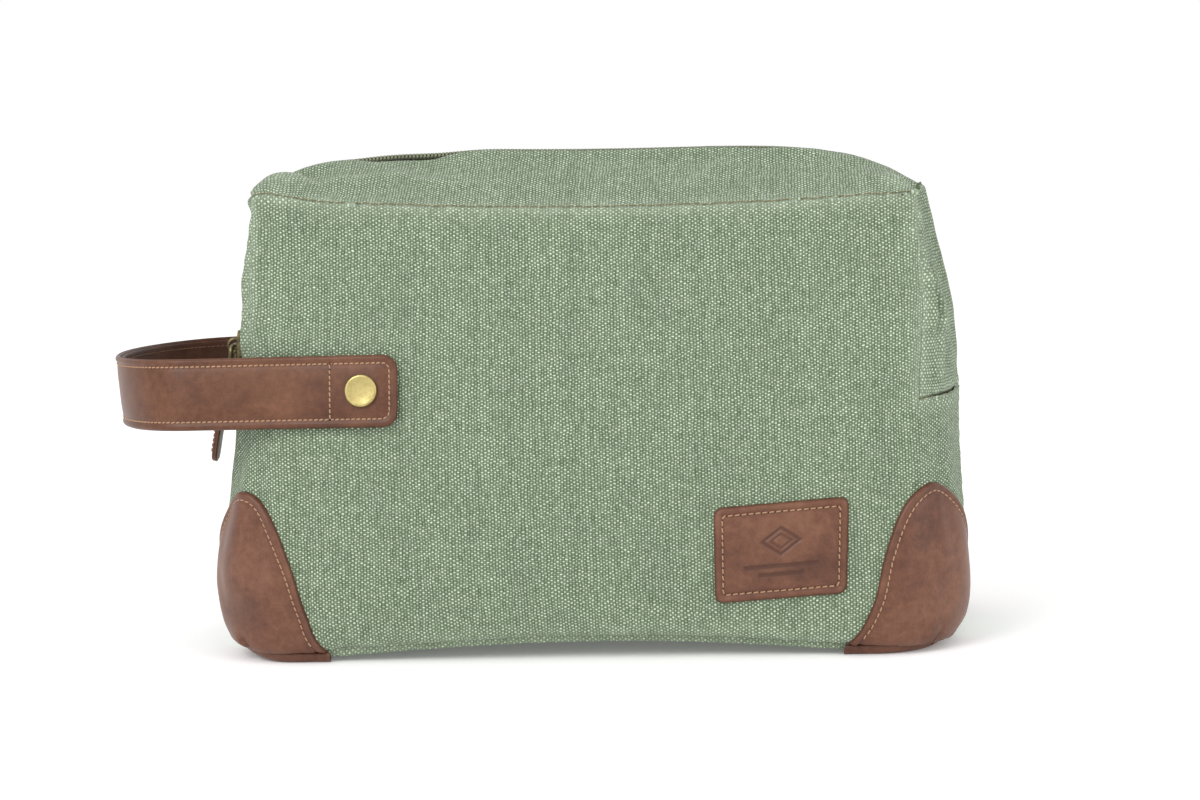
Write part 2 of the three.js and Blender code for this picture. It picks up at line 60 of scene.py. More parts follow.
# Girth of the canvas at nine heights. Radius rounds the upright corners, the bulges swell
# the middle of the ends and of the faces.
HEIGHTS = (0, 5, 16, 36, 60, 90, 122, 151, 163)
GIRTH = {
    "left": (122, 127, 131, 131.5, 126.5, 121.5, 120, 118, 116.5),
    "right": (122, 128, 133.5, 133.5, 129, 124.5, 123.5, 122, 121),
    "depth": (54.5, 56.5, 58, 58, 56.5, 53, 47, 41.7, 39.7),
    "radius": (20, 22, 24, 25, 23, 17, 8, 5, 4),
    "left_end": (0, 1, 2, 3, 5.2, 8.4, 6.5, 4.5, 3),
    "right_end": (0, 1, 1.5, 3, 6.5, 8.6, 7.9, 3.0, 1.5),
    "face": (0, 0.8, 2, 3.4, 4.2, 4, 3, 1.2, 0),
    "left_fade": (2, 2, 2, 2, 1.6, 1.1, 1.1, 1.1, 1.1),  # 2 is a round bulge, 1 a tent over the zip
}
TOP = 163              # height of the top edge at the corners
TOP_SAG = 0.0276       # share of its height that the top edge dips by at mid-length
TOP_TILT = 0.013       # the strap end stands higher than the other by this share, each way
CROWN = 19             # the zip ridge above the top edge
CROWN_POWER = 5        # how squarely the crown ends over the two ends of the bag
BASE_SEAM = 2.6        # height of the seam round the base
FOOT = 90              # height at which the zip gusset starts on both ends
SLOT = 8               # half the opening between the gusset strips
BASE_ARCH = 4.5        # rise of the long base edges at mid-length
BASE_LIFT = 1.7        # the canvas base stands this high on its leather corners
END_LIFT = 2.4         # the strap end's base edge curls up by this much more
BASE_LOW = 0.3         # the middle of the canvas base is this far above the floor

STRAP_HEIGHT = 96
STRAP_HALF = 12.5
STRAP_END = 63         # where the sewn leg ends on the face
STRAP_BEND = 101       # where the strap leaves the canvas
STRAP_TURN = 138       # where the free loop starts to turn
STRAP_REACH = (31, 33.5)   # reach of the loop past its turn, at its lower and upper edges
RIVET_X = -75.8

PATCH_HEIGHT = 60.5
PATCH_HALF = 29
PATCH_POINT = 1.12         # 1 is a half-ellipse; more makes the patch's top narrower
BASE_CORNER = (123, 57)    # centre of the curved edge of the leather under a corner

LABEL_CENTRE = (70, 37.6)
LABEL_SIZE = (46, 32.5)
LABEL_TILT = math.radians(3.7)
LABEL_THICK = 1.35

# The straight run of the zip up the strap end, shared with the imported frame's slide joint.
RUN_START = (-130, 90)
RUN_LEAN = math.atan2(129.9 - 123.5, 151 - 90)
SLIDER_HEIGHT = 109
COIL_TOP = 0.8
EYE_HEIGHT = 4.3           # the slider's eye above the canvas
LINK_DROP = 9.1            # from the eye to the tab's pivot in the link
LINK_LEAN = math.radians(8)
TAB_LEAN = math.radians(13)
TAB_LENGTH = 35


def through(x, stations, values):
    """A smooth curve through the stations, read at x."""
    xs = np.asarray(stations, float)
    ys = np.asarray(values, float)
    slopes = np.gradient(ys, xs)
    x = np.clip(x, xs[0], xs[-1])
    i = np.clip(np.searchsorted(xs, x, side="right") - 1, 0, len(xs) - 2)
    width = xs[i + 1] - xs[i]
    t = (x - xs[i]) / width
    return (
        (2 * t**3 - 3 * t**2 + 1) * ys[i]
        + (t**3 - 2 * t**2 + t) * width * slopes[i]
        + (3 * t**2 - 2 * t**3) * ys[i + 1]
        + (t**3 - t**2) * width * slopes[i + 1]
    )


def smoothstep(low, high, x):
    t = np.clip((np.asarray(x, float) - low) / (high - low), 0, 1)
    return t * t * (3 - 2 * t)


def girth(z):
    return {key: through(z, HEIGHTS, values) for key, values in GIRTH.items()}


def running_length(points):
    """Distance along a line at each of its points."""
    return np.concatenate([[0], np.cumsum(np.linalg.norm(np.diff(points, axis=0), axis=1))])


def graded(start, end, cells, crowd=0.5):
    """Values from start to end, crowded towards both."""
    t = np.linspace(0, 1, cells + 1)
    t = (1 - crowd) * t + crowd * (0.5 - 0.5 * np.cos(math.pi * t))
    return start + (end - start) * t


def plan(column, height):
    """Plan position on the front half, by column: 0 is the middle of the left end, 8 of the right.

    From each end inward, 0-1 is beside the zip, 1-2 the rest of the end, 2-3 the corner arc and
    3-4 the face.
    """
    column, height = np.broadcast_arrays(np.asarray(column, float), np.asarray(height, float))
    g = girth(height)
    side = np.where(column <= 4, -1.0, 1.0)
    q = np.where(column <= 4, column, 8 - column)
    length = np.where(side < 0, g["left"], g["right"])
    flat_end = g["depth"] - g["radius"]
    flat_face = length - g["radius"]
    turn = np.clip(q - 2, 0, 1) * math.pi / 2
    x = flat_face + g["radius"] * np.cos(turn)
    y = flat_end + g["radius"] * np.sin(turn)
    y = np.where(q < 1, SLOT * q, np.where(q < 2, SLOT + (flat_end - SLOT) * (q - 1), y))
    x = np.where(q > 3, flat_face * (4 - q), x)
    fade = np.where(side < 0, g["left_fade"], 2)
    end_swell = np.clip(1 - (y / (g["depth"] - g["radius"] / 2)) ** fade, 0, None)
    face_swell = g["face"] * np.clip(1 - (x / (length - g["radius"] / 2)) ** 2, 0, None)
    x = x + np.where(q < 2.5, end_swell * np.where(side < 0, g["left_end"], g["right_end"]), 0)
    y = y + np.where(q >= 2.5, face_swell, 0)
    return side * x, -y


def half_length(x, g):
    """Half-length of the girth on the side that x is on."""
    return np.where(np.asarray(x) < 0, g["left"], g["right"])


def end_lift(x):
    return END_LIFT * smoothstep(-108, -127, x)


def rise(x, height):
    """Height above the floor of a place on the wall: the top edge sags, the base edge arches."""
    along = np.clip(x / half_length(x, girth(height)), -1, 1)
    arch = BASE_ARCH * np.clip(1 - (x / 96) ** 2, 0, None) ** 1.2
    lift = BASE_LIFT + arch + end_lift(x)
    stretch = 1 - TOP_SAG * (1 - along**2) - TOP_TILT * along
    return height * stretch + lift * np.clip(1 - height / 45, 0, 1) ** 1.5


def crown(x, y):
    g = girth(TOP)
    along = np.clip(np.abs(x) / half_length(x, g), 0, 1)
    across = np.clip(np.abs(y) / g["depth"], 0, 1)
    return CROWN * (1 - across**2) * (1 - along**CROWN_POWER)


# ---- the shell's grid -------------------------------------------------------

QUARTER = np.concatenate([
    np.linspace(0, 1, 3)[:-1],
    1 + graded(0, 1, 7)[:-1],
    2 + np.linspace(0, 1, 9)[:-1],
    3 + np.linspace(0, 1, 29),
])
COLUMNS = np.concatenate([QUARTER, 8 - QUARTER[-2::-1]])
ROWS = np.concatenate([[0, 1.3], graded(BASE_SEAM, FOOT, 27)[:-1], graded(FOOT, TOP, 22)])
SLOT_COLUMN = 2
CORNER_COLUMN = 13
LAST_COLUMN = len(COLUMNS) - 1
SEAM_ROW = 2
FOOT_ROW = int(np.argmin(abs(ROWS - FOOT)))
TOP_ROW = len(ROWS) - 1

PANEL, GUSSET, BOTTOM, SLOT_STRIP = 1, 2, 3, 4
BACK = 10              # added to a panel's number on the back half


def wall_grid():
    height = ROWS[:, None]
    x, y = plan(COLUMNS[None, :], height)
    return np.dstack([x, y, rise(x, np.broadcast_to(height, x.shape))])


def cap_grid(ring):
    """The grid that closes a ring: rows from the middle line to the front edge, columns along X."""
    k = CORNER_COLUMN
    face = ring[k : LAST_COLUMN - k + 1]
    left = ring[: k + 1]
    right = ring[LAST_COLUMN : LAST_COLUMN - k - 1 : -1]
    shares = [end[:, None, 0] / end[k, 0] for end in (left, right)]
    x = face[None, :, 0] * np.where(face[None, :, 0] < 0, *shares)
    y = left[:, None, 1] * face[None, :, 1] / left[k, 1]
    return x, y


def arc_lengths(points, axis):
    """Running length along an axis of a grid of points."""
    steps = np.linalg.norm(np.diff(points, axis=axis), axis=2)
    start = np.zeros_like(np.take(steps, [0], axis=axis))
    return np.concatenate([start, np.cumsum(steps, axis=axis)], axis=axis)


def grid_corners(rows, columns):
    """The four (row, column) corners of each cell of a grid."""
    cells = [(i, j) for i in range(rows - 1) for j in range(columns - 1)]
    return [[(i, j), (i, j + 1), (i + 1, j + 1), (i + 1, j)] for i, j in cells]


class HalfShell:
    """Points, quads, panels and thread coordinates of the front half of the canvas."""

    def __init__(self):
        self.wall = wall_grid()
        rows, columns = self.wall.shape[:2]
        self.points = list(self.wall.reshape(-1, 3))
        self.wall_index = np.arange(rows * columns).reshape(rows, columns)
        self.quads = []
        self.panels = []
        self.threads = []
        self.add_wall()
        self.top_index = self.add_cap(TOP_ROW, top=True)
        self.bottom_index = self.add_cap(0, top=False)
        self.points = np.array(self.points)

    def add_quad(self, corners, panel, threads):
        self.quads.append(corners)
        self.panels.append(panel)
        self.threads.append(threads)

    def add_wall(self):
        along = arc_lengths(self.wall, 1)
        middle = COLUMNS.tolist().index(4.0)
        along = along - along[:, [middle]]
        up = arc_lengths(self.wall, 0)[:, middle]
        k = CORNER_COLUMN
        self.cap_start = along[TOP_ROW, k]
        self.top_height = up[TOP_ROW]
        for corners in grid_corners(len(ROWS), len(COLUMNS)):
            i, j = corners[0]
            if i >= FOOT_ROW and not k <= j < LAST_COLUMN - k:
                in_slot = j < SLOT_COLUMN or j >= LAST_COLUMN - SLOT_COLUMN
                panel = SLOT_STRIP if in_slot else GUSSET
                threads = [self.gusset_threads(a, b, along) for a, b in corners]
            else:
                panel = BOTTOM if i < SEAM_ROW else PANEL
                threads = [(along[a, b], up[a]) for a, b in corners]
            self.add_quad([self.wall_index[c] for c in corners], panel, threads)

    def gusset_threads(self, i, j, along):
        """The gusset is one long strip, so its threads turn down the ends."""
        side = -1 if j < len(COLUMNS) / 2 else 1
        corner = CORNER_COLUMN if side < 0 else LAST_COLUMN - CORNER_COLUMN
        down = self.wall[TOP_ROW, corner, 2] - self.wall[i, j, 2]
        across = abs(along[i, j] - along[i, corner])
        return side * (abs(self.cap_start) + down), self.top_height + across

    def add_cap(self, ring_row, top):
        ring = self.wall[ring_row]
        x, y = cap_grid(ring)
        if top:
            z = rise(x, np.full_like(x, float(TOP))) + crown(x, y)
        else:
            edge = np.maximum((y / ring[len(ring) // 2, 1]) ** 2, smoothstep(40, 90, np.abs(x)))
            z = BASE_LOW + (rise(x, np.zeros_like(x)) - BASE_LOW) * edge
        index = self.cap_index(self.wall_index[ring_row], x, y, z)
        grid = np.array(self.points)[index]
        along = arc_lengths(grid, 1)
        along = along - along[:, [x.shape[1] // 2]]
        across = arc_lengths(grid, 0)
        across = self.top_height + across[-1:, :] - across
        for corners in grid_corners(*x.shape):
            panel = BOTTOM
            if top:
                panel = SLOT_STRIP if corners[0][0] < SLOT_COLUMN else GUSSET
                corners.reverse()
            threads = [(along[c], across[c]) for c in corners]
            self.add_quad([index[c] for c in corners], panel, threads)
        return index

    def cap_index(self, ring, x, y, z):
        """Numbers of a cap's points: its rim is the wall's ring, and the rest are new points."""
        k = CORNER_COLUMN
        index = np.empty(x.shape, int)
        index[:, 0] = ring[: k + 1]
        index[:, -1] = ring[LAST_COLUMN : LAST_COLUMN - k - 1 : -1]
        index[-1] = ring[k : LAST_COLUMN - k + 1]
        new = x[:-1, 1:-1]
        index[:-1, 1:-1] = len(self.points) + np.arange(new.size).reshape(new.shape)
        inside = np.dstack([x, y, z])[:-1, 1:-1]
        self.points.extend(inside.reshape(-1, 3))
        return index


def whole_shell(half):
    """Both halves as one closed mesh; the points on the middle line are shared."""
    count = len(half.points)
    on_middle = np.abs(half.points[:, 1]) < 1e-6
    back_index = np.where(on_middle, np.arange(count), 0)
    back_index[~on_middle] = count + np.arange((~on_middle).sum())
    mirrored = half.points[~on_middle] * (1, -1, 1)
    points = np.vstack([half.points, mirrored])
    front = np.array(half.quads)
    back = back_index[front][:, ::-1]
    quads = np.vstack([front, back])
    panels = np.concatenate([half.panels, np.array(half.panels) + BACK])
    threads = np.array(half.threads)
    threads = np.vstack([threads, threads[:, ::-1] * (-1, 1)])
    return points, quads, panels, threads, back_index


# ---- meshes -----------------------------------------------------------------


def new_object(name, points_mm, faces, material=None, threads=None):
    """A smooth-shaded mesh object; threads gives each face corner its cloth coordinates."""
    mesh = bpy.data.meshes.new(name)
    points = (np.asarray(points_mm, float).reshape(-1, 3) * MM).tolist()
    mesh.from_pydata(points, [], [tuple(map(int, face)) for face in faces])
    if threads is not None:
        layer = mesh.uv_layers.new(name="thread_mm")
        layer.data.foreach_set("uv", np.asarray(threads, np.float32).reshape(-1))
    mesh.polygons.foreach_set("use_smooth", [True] * len(mesh.polygons))
    mesh.validate()
    mesh.update()
    obj = bpy.data.objects.new(name, mesh)
    bpy.context.scene.collection.objects.link(obj)
    if material is not None:
        mesh.materials.append(material)
    return obj


def paint(obj, name, values):
    """Stores one number for each point of a mesh, for its material to read."""
    layer = obj.data.attributes.new(name, "FLOAT", "POINT")
    layer.data.foreach_set("value", np.asarray(values, np.float32).ravel())


def apply_modifiers(obj):
    graph = bpy.context.evaluated_depsgraph_get()
    mesh = bpy.data.meshes.new_from_object(obj.evaluated_get(graph), depsgraph=graph)
    obj.modifiers.clear()
    obj.data = mesh
    return obj


def read(items, field, width=1, kind=np.float32):
    """A field of every item of a mesh collection, one row each."""
    values = np.empty(len(items) * width, kind)
    items.foreach_get(field, values)
    return values.reshape(-1, width)


def positions(mesh):
    return read(mesh.vertices, "co", 3).astype(float) / MM


def set_positions(mesh, points_mm):
    mesh.vertices.foreach_set("co", (points_mm * MM).astype(np.float32).reshape(-1))
    mesh.update()


def normals(mesh):
    return read(mesh.vertex_normals, "vector", 3).astype(float)


# ---- cloth ------------------------------------------------------------------

CLOTH_FRAMES = 22
CLOTH_LIMIT = 2.2     # furthest a point of the canvas may be moved by the simulation
CLOTH = {
    "quality": 6,
    "mass": 0.35,
    "tension_stiffness": 40,
    "compression_stiffness": 40,
    "shear_stiffness": 12,
    "bending_stiffness": 0.6,
    "vertex_group_mass": "held",
    "pin_stiffness": 1,
    "shrink_min": -0.035,
    "shrink_max": -0.035,
    "use_pressure": True,
    "uniform_pressure_force": 0.6,
}


def held_points(half, back_index, points):
    """How firmly the cloth simulation holds each point: seams, slot and strap seats are fixed."""
    hold = np.zeros(len(points))
    w = half.wall_index
    k = CORNER_COLUMN
    seam_lists = [
        w[: SEAM_ROW + 1].reshape(-1),
        w[TOP_ROW, k : LAST_COLUMN - k + 1],
        w[FOOT_ROW:, k],
        w[FOOT_ROW:, LAST_COLUMN - k],
        w[FOOT_ROW, : k + 1],
        w[FOOT_ROW, LAST_COLUMN - k :],
        w[FOOT_ROW:, : SLOT_COLUMN + 1].reshape(-1),
        w[FOOT_ROW:, LAST_COLUMN - SLOT_COLUMN :].reshape(-1),
        half.top_index[: SLOT_COLUMN + 1].reshape(-1),
        half.bottom_index.reshape(-1),
    ]
    for seam in seam_lists:
        hold[seam] = 1
        hold[back_index[seam]] = 1
    near_strap = (points[:, 0] < -58) & (np.abs(points[:, 2] - STRAP_HEIGHT) < 18)
    near_strap &= np.abs(points[:, 1]) > 40
    hold[near_strap] = 1
    return hold


def settle_cloth(points, quads, hold):
    """Lets slightly oversized cloth settle between its seams under a little inside pressure."""
    obj = new_object("cloth_form", points, quads)
    group = obj.vertex_groups.new(name="held")
    group.add(np.flatnonzero(hold >= 1).tolist(), 1, "REPLACE")
    cloth = obj.modifiers.new("cloth", "CLOTH")
    for setting, value in CLOTH.items():
        setattr(cloth.settings, setting, value)
    cloth.settings.effector_weights.gravity = 0.6
    cloth.collision_settings.use_collision = False
    cloth.point_cache.frame_start = 1
    cloth.point_cache.frame_end = CLOTH_FRAMES
    scene = bpy.context.scene
    for number in range(1, CLOTH_FRAMES + 1):
        scene.frame_set(number)
    apply_modifiers(obj)
    moved = positions(obj.data) - points
    scene.frame_set(1)
    bpy.data.objects.remove(obj)
    length = np.linalg.norm(moved, axis=1, keepdims=True)
    limited = CLOTH_LIMIT * np.tanh(length / CLOTH_LIMIT)
    return points + moved * limited / np.maximum(length, 1e-9)


# ---- listed folds -----------------------------------------------------------


def ridge(points, start, end, width, height, fade=0.25):
    """A soft fold along a line in space: its height at each point, fading at both ends."""
    a, b = np.array(start, float), np.array(end, float)
    along = b - a
    t = (points - a) @ along / (along @ along)
    distance = np.linalg.norm(points - a - np.clip(t, 0, 1)[:, None] * along, axis=1)
    taper = smoothstep(-fade, fade, t) * (1 - smoothstep(1 - fade, 1 + fade, t))
    return height * np.exp(-((distance / width) ** 2)) * taper


# Wide dents and puffed corners of the body at rest: start, end, width, height and any long fade.
BROAD_FOLDS = (
    ((-115, -34, 163), (-102, -24, 171), 10, 5.6),
    ((-115, 34, 163), (-102, 24, 171), 10, 5.6),
    ((113, -30, 163), (102, -22, 169), 9, 3.2),
    ((113, 30, 163), (102, 22, 169), 9, 3.2),
    ((-126, -50, 26), (-124, -52, 12), 11, -1.7),
    ((126, -50, 26), (124, -52, 12), 11, -1.7),
    ((-126, 50, 26), (-124, 52, 12), 11, -1.7),
    ((126, 50, 26), (124, 52, 12), 11, -1.7),
    ((-92, 0, 176), (-45, 0, 180), 26, -1.6),
    ((-66, -28, 167), (-52, -10, 176), 8, -1.6),
    ((54, -28, 167), (70, -10, 175), 9, -1.0),
    ((-60, 38, 158), (-40, 10, 176), 9, -1.2),
    ((98, -54, 150), (66, -57, 60), 12, -0.8, 0.4),
    ((-98, -52, 150), (-40, -58, 120), 14, -0.7, 0.4),
    ((-30, -60, 30), (60, -60, 12), 16, -0.7, 0.4),
    ((90, 54, 140), (20, 58, 60), 14, -0.9, 0.4),
    ((-90, 56, 60), (-20, 58, 20), 14, -0.8, 0.4),
)


def broad_folds(points, out):
    """The points moved along their outward normals by the wide dents and puffed corners."""
    depth = sum(ridge(points, *fold) for fold in BROAD_FOLDS)
    return points + out * depth[:, None]


# Narrow creases: start, end, width and height. Ends are read in (y, z), the top in (x, y).
RIGHT_CREASES = (
    ((-38, 158), (-41, 128), 1.6, 1.6),
    ((-41, 134), (-42, 98), 1.5, 1.3),
    ((-24, 133), (-38, 110), 2.1, 2.5),
    ((-37, 112), (-40, 95), 1.9, 2.1),
    ((-36, 136), (-36, 118), 3.6, -1.7),
    ((-28, 112), (-32, 97), 4.5, -1.3),
    ((41, 158), (44, 98), 2.2, 1.2),
    ((20, 136), (37, 104), 3.0, 1.7),
    ((36, 138), (35, 116), 3.6, -1.4),
)
LEFT_CREASES = (
    ((-40, 152), (-45, 100), 2.4, 1.1),
    ((40, 152), (45, 100), 2.4, 1.1),
    ((24, 140), (38, 104), 3.0, 1.4),
)
TOP_CREASES = (
    ((-114, -31), (-97, -27), 7, 1.7),
    ((-114, 31), (-97, 27), 7, 1.7),
    ((107, -29), (118, -31), 6, 2.2),
    ((107, 29), (118, 31), 6, 2.2),
    ((-112, -26), (-88, -24), 2.4, 0.9),
    ((-92, -26), (-62, -16), 2.4, 1.1),
    ((-66, -18), (-48, -24), 2.6, 0.8),
    ((-96, -34), (-66, -28), 4.0, -0.9),
    ((36, -30), (52, -14), 2.6, 0.9),
    ((46, -34), (60, -22), 3.6, -0.8),
    ((-60, 28), (-30, 14), 3.0, 0.9),
    ((40, 30), (70, 16), 3.0, 0.9),
)


def creases(flat, rows):
    """Height of narrow folds at places given by two coordinates."""
    flat = np.column_stack([flat, np.zeros(len(flat))])
    return sum(ridge(flat, (*start, 0), (*end, 0), *size) for start, end, *size in rows)


def fine_folds(points):
    """Narrow creases of the gusset, as heights above the surface."""
    x, z = points[:, 0], points[:, 2]
    right = creases(points[:, 1:], RIGHT_CREASES) * smoothstep(112, 121, x) * (z > FOOT)
    left = creases(points[:, 1:], LEFT_CREASES) * smoothstep(-110, -118, x) * (z > FOOT)
    top = creases(points[:, :2], TOP_CREASES) * smoothstep(150, 158, z)
    return right + left + top


# ---- the fine canvas shell --------------------------------------------------


def interpolated(at, lengths, values):
    """Rows of values read at one or more lengths."""
    return np.stack([np.interp(at, lengths, column) for column in np.asarray(values).T], -1)


def polyline(points, spacing=0.6):
    """The same line with points this close together."""
    points = np.asarray(points, float)
    lengths = running_length(points)
    at = np.linspace(0, lengths[-1], max(2, int(lengths[-1] / spacing) + 1))
    return interpolated(at, lengths, points)


def seam_lines(half, points, back_index):
    """Every seam of the canvas as a line of points."""
    w = half.wall_index
    k = CORNER_COLUMN
    front = {
        "base": w[SEAM_ROW],
        "top": w[TOP_ROW, k : LAST_COLUMN - k + 1],
        "corner_left": w[FOOT_ROW:, k],
        "corner_right": w[FOOT_ROW:, LAST_COLUMN - k],
        "foot_left": w[FOOT_ROW, SLOT_COLUMN : k + 1],
        "foot_right": w[FOOT_ROW, LAST_COLUMN - k : LAST_COLUMN - SLOT_COLUMN + 1],
        "end_left": w[SEAM_ROW : FOOT_ROW + 1, 0],
        "end_right": w[SEAM_ROW : FOOT_ROW + 1, LAST_COLUMN],
    }
    lines = {}
    for name, index in front.items():
        lines[name + "_front"] = points[index]
        lines[name + "_back"] = points[back_index[index]]
    return lines


def nearest(points, lines):
    """Distance from each point to the nearest of the lines, and a running phase along it."""
    samples = np.vstack([polyline(line) for line in lines])
    tree = KDTree(len(samples))
    for i, sample in enumerate(samples):
        tree.insert(sample, i)
    tree.balance()
    found = [tree.find(p) for p in points]
    return np.array([f[2] for f in found]), np.array([f[1] for f in found]) * 0.6


def seam_relief(distance, phase):
    """A sewn-in seam: a ditch on the line, a soft welt beside it, and puckers that die away."""
    ditch = -0.9 * np.exp(-((distance / 1.0) ** 2))
    welt = 0.55 * np.exp(-(((distance - 3.0) / 2.0) ** 2))
    pucker = 0.22 * np.sin(phase * 0.83 + 1.7 * np.sin(phase * 0.19)) * np.exp(-distance / 5)
    return ditch + welt + pucker * smoothstep(0.3, 2, distance)


class Canvas:
    """The fine canvas shell, cut into its panels."""

    def __init__(self):
        half = HalfShell()
        points, quads, panels, threads, back_index = whole_shell(half)
        points = settle_cloth(points, quads, held_points(half, back_index, points))
        form = new_object("canvas_form", points, quads, threads=threads)
        points = broad_folds(points, normals(form.data))
        set_positions(form.data, points)
        self.seams = seam_lines(half, points, back_index)
        kinds = form.data.attributes.new("panel", "INT", "FACE")
        kinds.data.foreach_set("value", panels.astype(np.int32))
        subdivision = form.modifiers.new("fine", "SUBSURF")
        subdivision.levels = 2
        subdivision.boundary_smooth = "ALL"
        subdivision.uv_smooth = "PRESERVE_BOUNDARIES"
        apply_modifiers(form)
        mesh = form.data
        self.points = positions(mesh)
        out = normals(mesh)
        distance, phase = nearest(self.points, self.seams.values())
        relief = seam_relief(distance, phase)
        flat_seams = [line for name, line in self.seams.items() if name.startswith("top")]
        from_flat, _ = nearest(self.points, flat_seams)
        folds = fine_folds(self.points) * smoothstep(0.8, 4.0, distance)
        relief = relief * (1 - 0.75 * np.exp(-((from_flat / 7) ** 2))) + folds
        self.points = self.points + out * relief[:, None]
        set_positions(mesh, self.points)
        # Paler along the seams, where the canvas is worn, and paler on the crests of the creases: a
        # painted highlight.
        self.seam_wear_and_crease_highlight = np.maximum(np.exp(-distance / 2.4), 0.5 * np.clip(folds / 1.8, 0, 1) ** 1.5)
        self.faces = read(mesh.loops, "vertex_index", 1, np.int32).reshape(-1, 4)
        self.threads = read(mesh.uv_layers["thread_mm"].data, "uv", 2).reshape(-1, 4, 2)
        self.panels = read(mesh.attributes["panel"].data, "value", 1, np.int32).ravel()
        self.out = normals(mesh)
        bpy.data.objects.remove(form)
        self.surface = BVHTree.FromPolygons(self.points.tolist(), self.faces.tolist())

    def panel(self, name, kinds, material, shift=None):
        """One panel as an object with real thickness, pushed outward by shift(points) if given."""
        chosen = np.isin(self.panels, kinds)
        faces = self.faces[chosen]
        used, renumbered = np.unique(faces, return_inverse=True)
        points = self.points[used]
        if shift is not None:
            points = points + self.out[used] * shift(points)[:, None]
        obj = new_object(name, points, renumbered.reshape(-1, 4), material, self.threads[chosen])
        paint(obj, "seam_wear_and_crease_highlight", self.seam_wear_and_crease_highlight[used])
        thicken(obj, 1.0)
        return obj

    def seat(self, point, direction):
        """Where a ray from outside meets the canvas, and the outward normal there."""
        direction = Vector(direction).normalized()
        start = Vector(point) + direction * 25
        hit, normal, _, _ = self.surface.ray_cast(start, -direction, 60)
        if hit is None:
            return np.array(point, float), np.array(direction, float)
        if normal.dot(direction) < 0:
            normal = -normal
        return np.array(hit), np.array(normal)


def thicken(obj, thickness_mm):
    """Gives a sheet a real thickness, inward from its outer face."""
    solid = obj.modifiers.new("thickness", "SOLIDIFY")
    solid.thickness = thickness_mm * MM
    solid.offset = -1
    return apply_modifiers(obj)


# ---- materials --------------------------------------------------------------


class Shade:
    """A node material in the making. Its methods add nodes and return an output of the last one."""

    def __init__(self, name, finish):
        self.material = bpy.data.materials.new(name)
        self.material.use_nodes = True
        self.tree = self.material.node_tree
        self.shader = self.tree.nodes["Principled BSDF"]
        for socket, value in finish.items():
            self.shader.inputs[socket].default_value = value

    def node(self, kind, inputs=None, output=0, **settings):
        made = self.tree.nodes.new("ShaderNode" + kind)
        for key, value in settings.items():
            setattr(made, key, value)
        for key, value in (inputs or {}).items():
            if isinstance(value, bpy.types.NodeSocket):
                self.tree.links.new(value, made.inputs[key])
            else:
                made.inputs[key].default_value = value
        return made.outputs[output]

    def place(self):
        return self.node("TexCoord", output="Object")

    def painted(self, name):
        """The number that paint() stored under this name."""
        return self.node("Attribute", output="Fac", attribute_name=name)

    def math(self, operation, a, b=0.0, c=0.0, clamp=False):
        return self.node("Math", {0: a, 1: b, 2: c}, operation=operation, use_clamp=clamp)

    def times(self, a, b, plus=None, clamp=False):
        if plus is None:
            return self.math("MULTIPLY", a, b, clamp=clamp)
        return self.math("MULTIPLY_ADD", a, b, plus, clamp)

    def varied(self, base, field, amount, clamp=False):
        """base, raised or lowered by how far a 0-1 field is from its middle."""
        return self.times(self.math("SUBTRACT", field, 0.5), amount, base, clamp)

    def stretched(self, vector, by):
        return self.node("VectorMath", {0: vector, 1: by}, operation="MULTIPLY")

    def noise(self, vector, scale, detail=3.0, roughness=0.55):
        inputs = {"Vector": vector, "Scale": scale, "Detail": detail, "Roughness": roughness}
        return self.node("TexNoise", inputs, "Fac")

    def mixed(self, factor, a, b):
        return self.node("Mix", {0: factor, 6: a, 7: b}, 2, data_type="RGBA")

    def surface(self, colour, height, depth_mm, strength, roughness=None):
        """Connects colour, bump and any roughness to the shader, and returns the material."""
        inputs = {"Height": height, "Distance": depth_mm * MM, "Strength": strength}
        links = {"Base Color": colour, "Normal": self.node("Bump", inputs)}
        if roughness is not None:
            links["Roughness"] = roughness
        for socket, value in links.items():
            self.tree.links.new(value, self.shader.inputs[socket])
        return self.material


def rgb(r, g, b):
    return (r, g, b, 1.0)


def thread_cells(s, uv, pitch):
    """Thread coordinates with a little drift, as counts of threads across and down the cloth."""
    drift = s.node("TexNoise", {"Vector": uv, "Scale": 0.25, "Detail": 2.0}, "Color")
    drift = s.node("VectorMath", {0: drift, 1: (0.5, 0.5, 0.5)}, operation="SUBTRACT")
    place = s.node("VectorMath", {0: s.stretched(drift, (1.3, 1.1, 0)), 1: uv}, operation="ADD")
    return [s.times(s.node("SeparateXYZ", {0: place}, axis), 1 / pitch[axis]) for axis in (0, 1)]


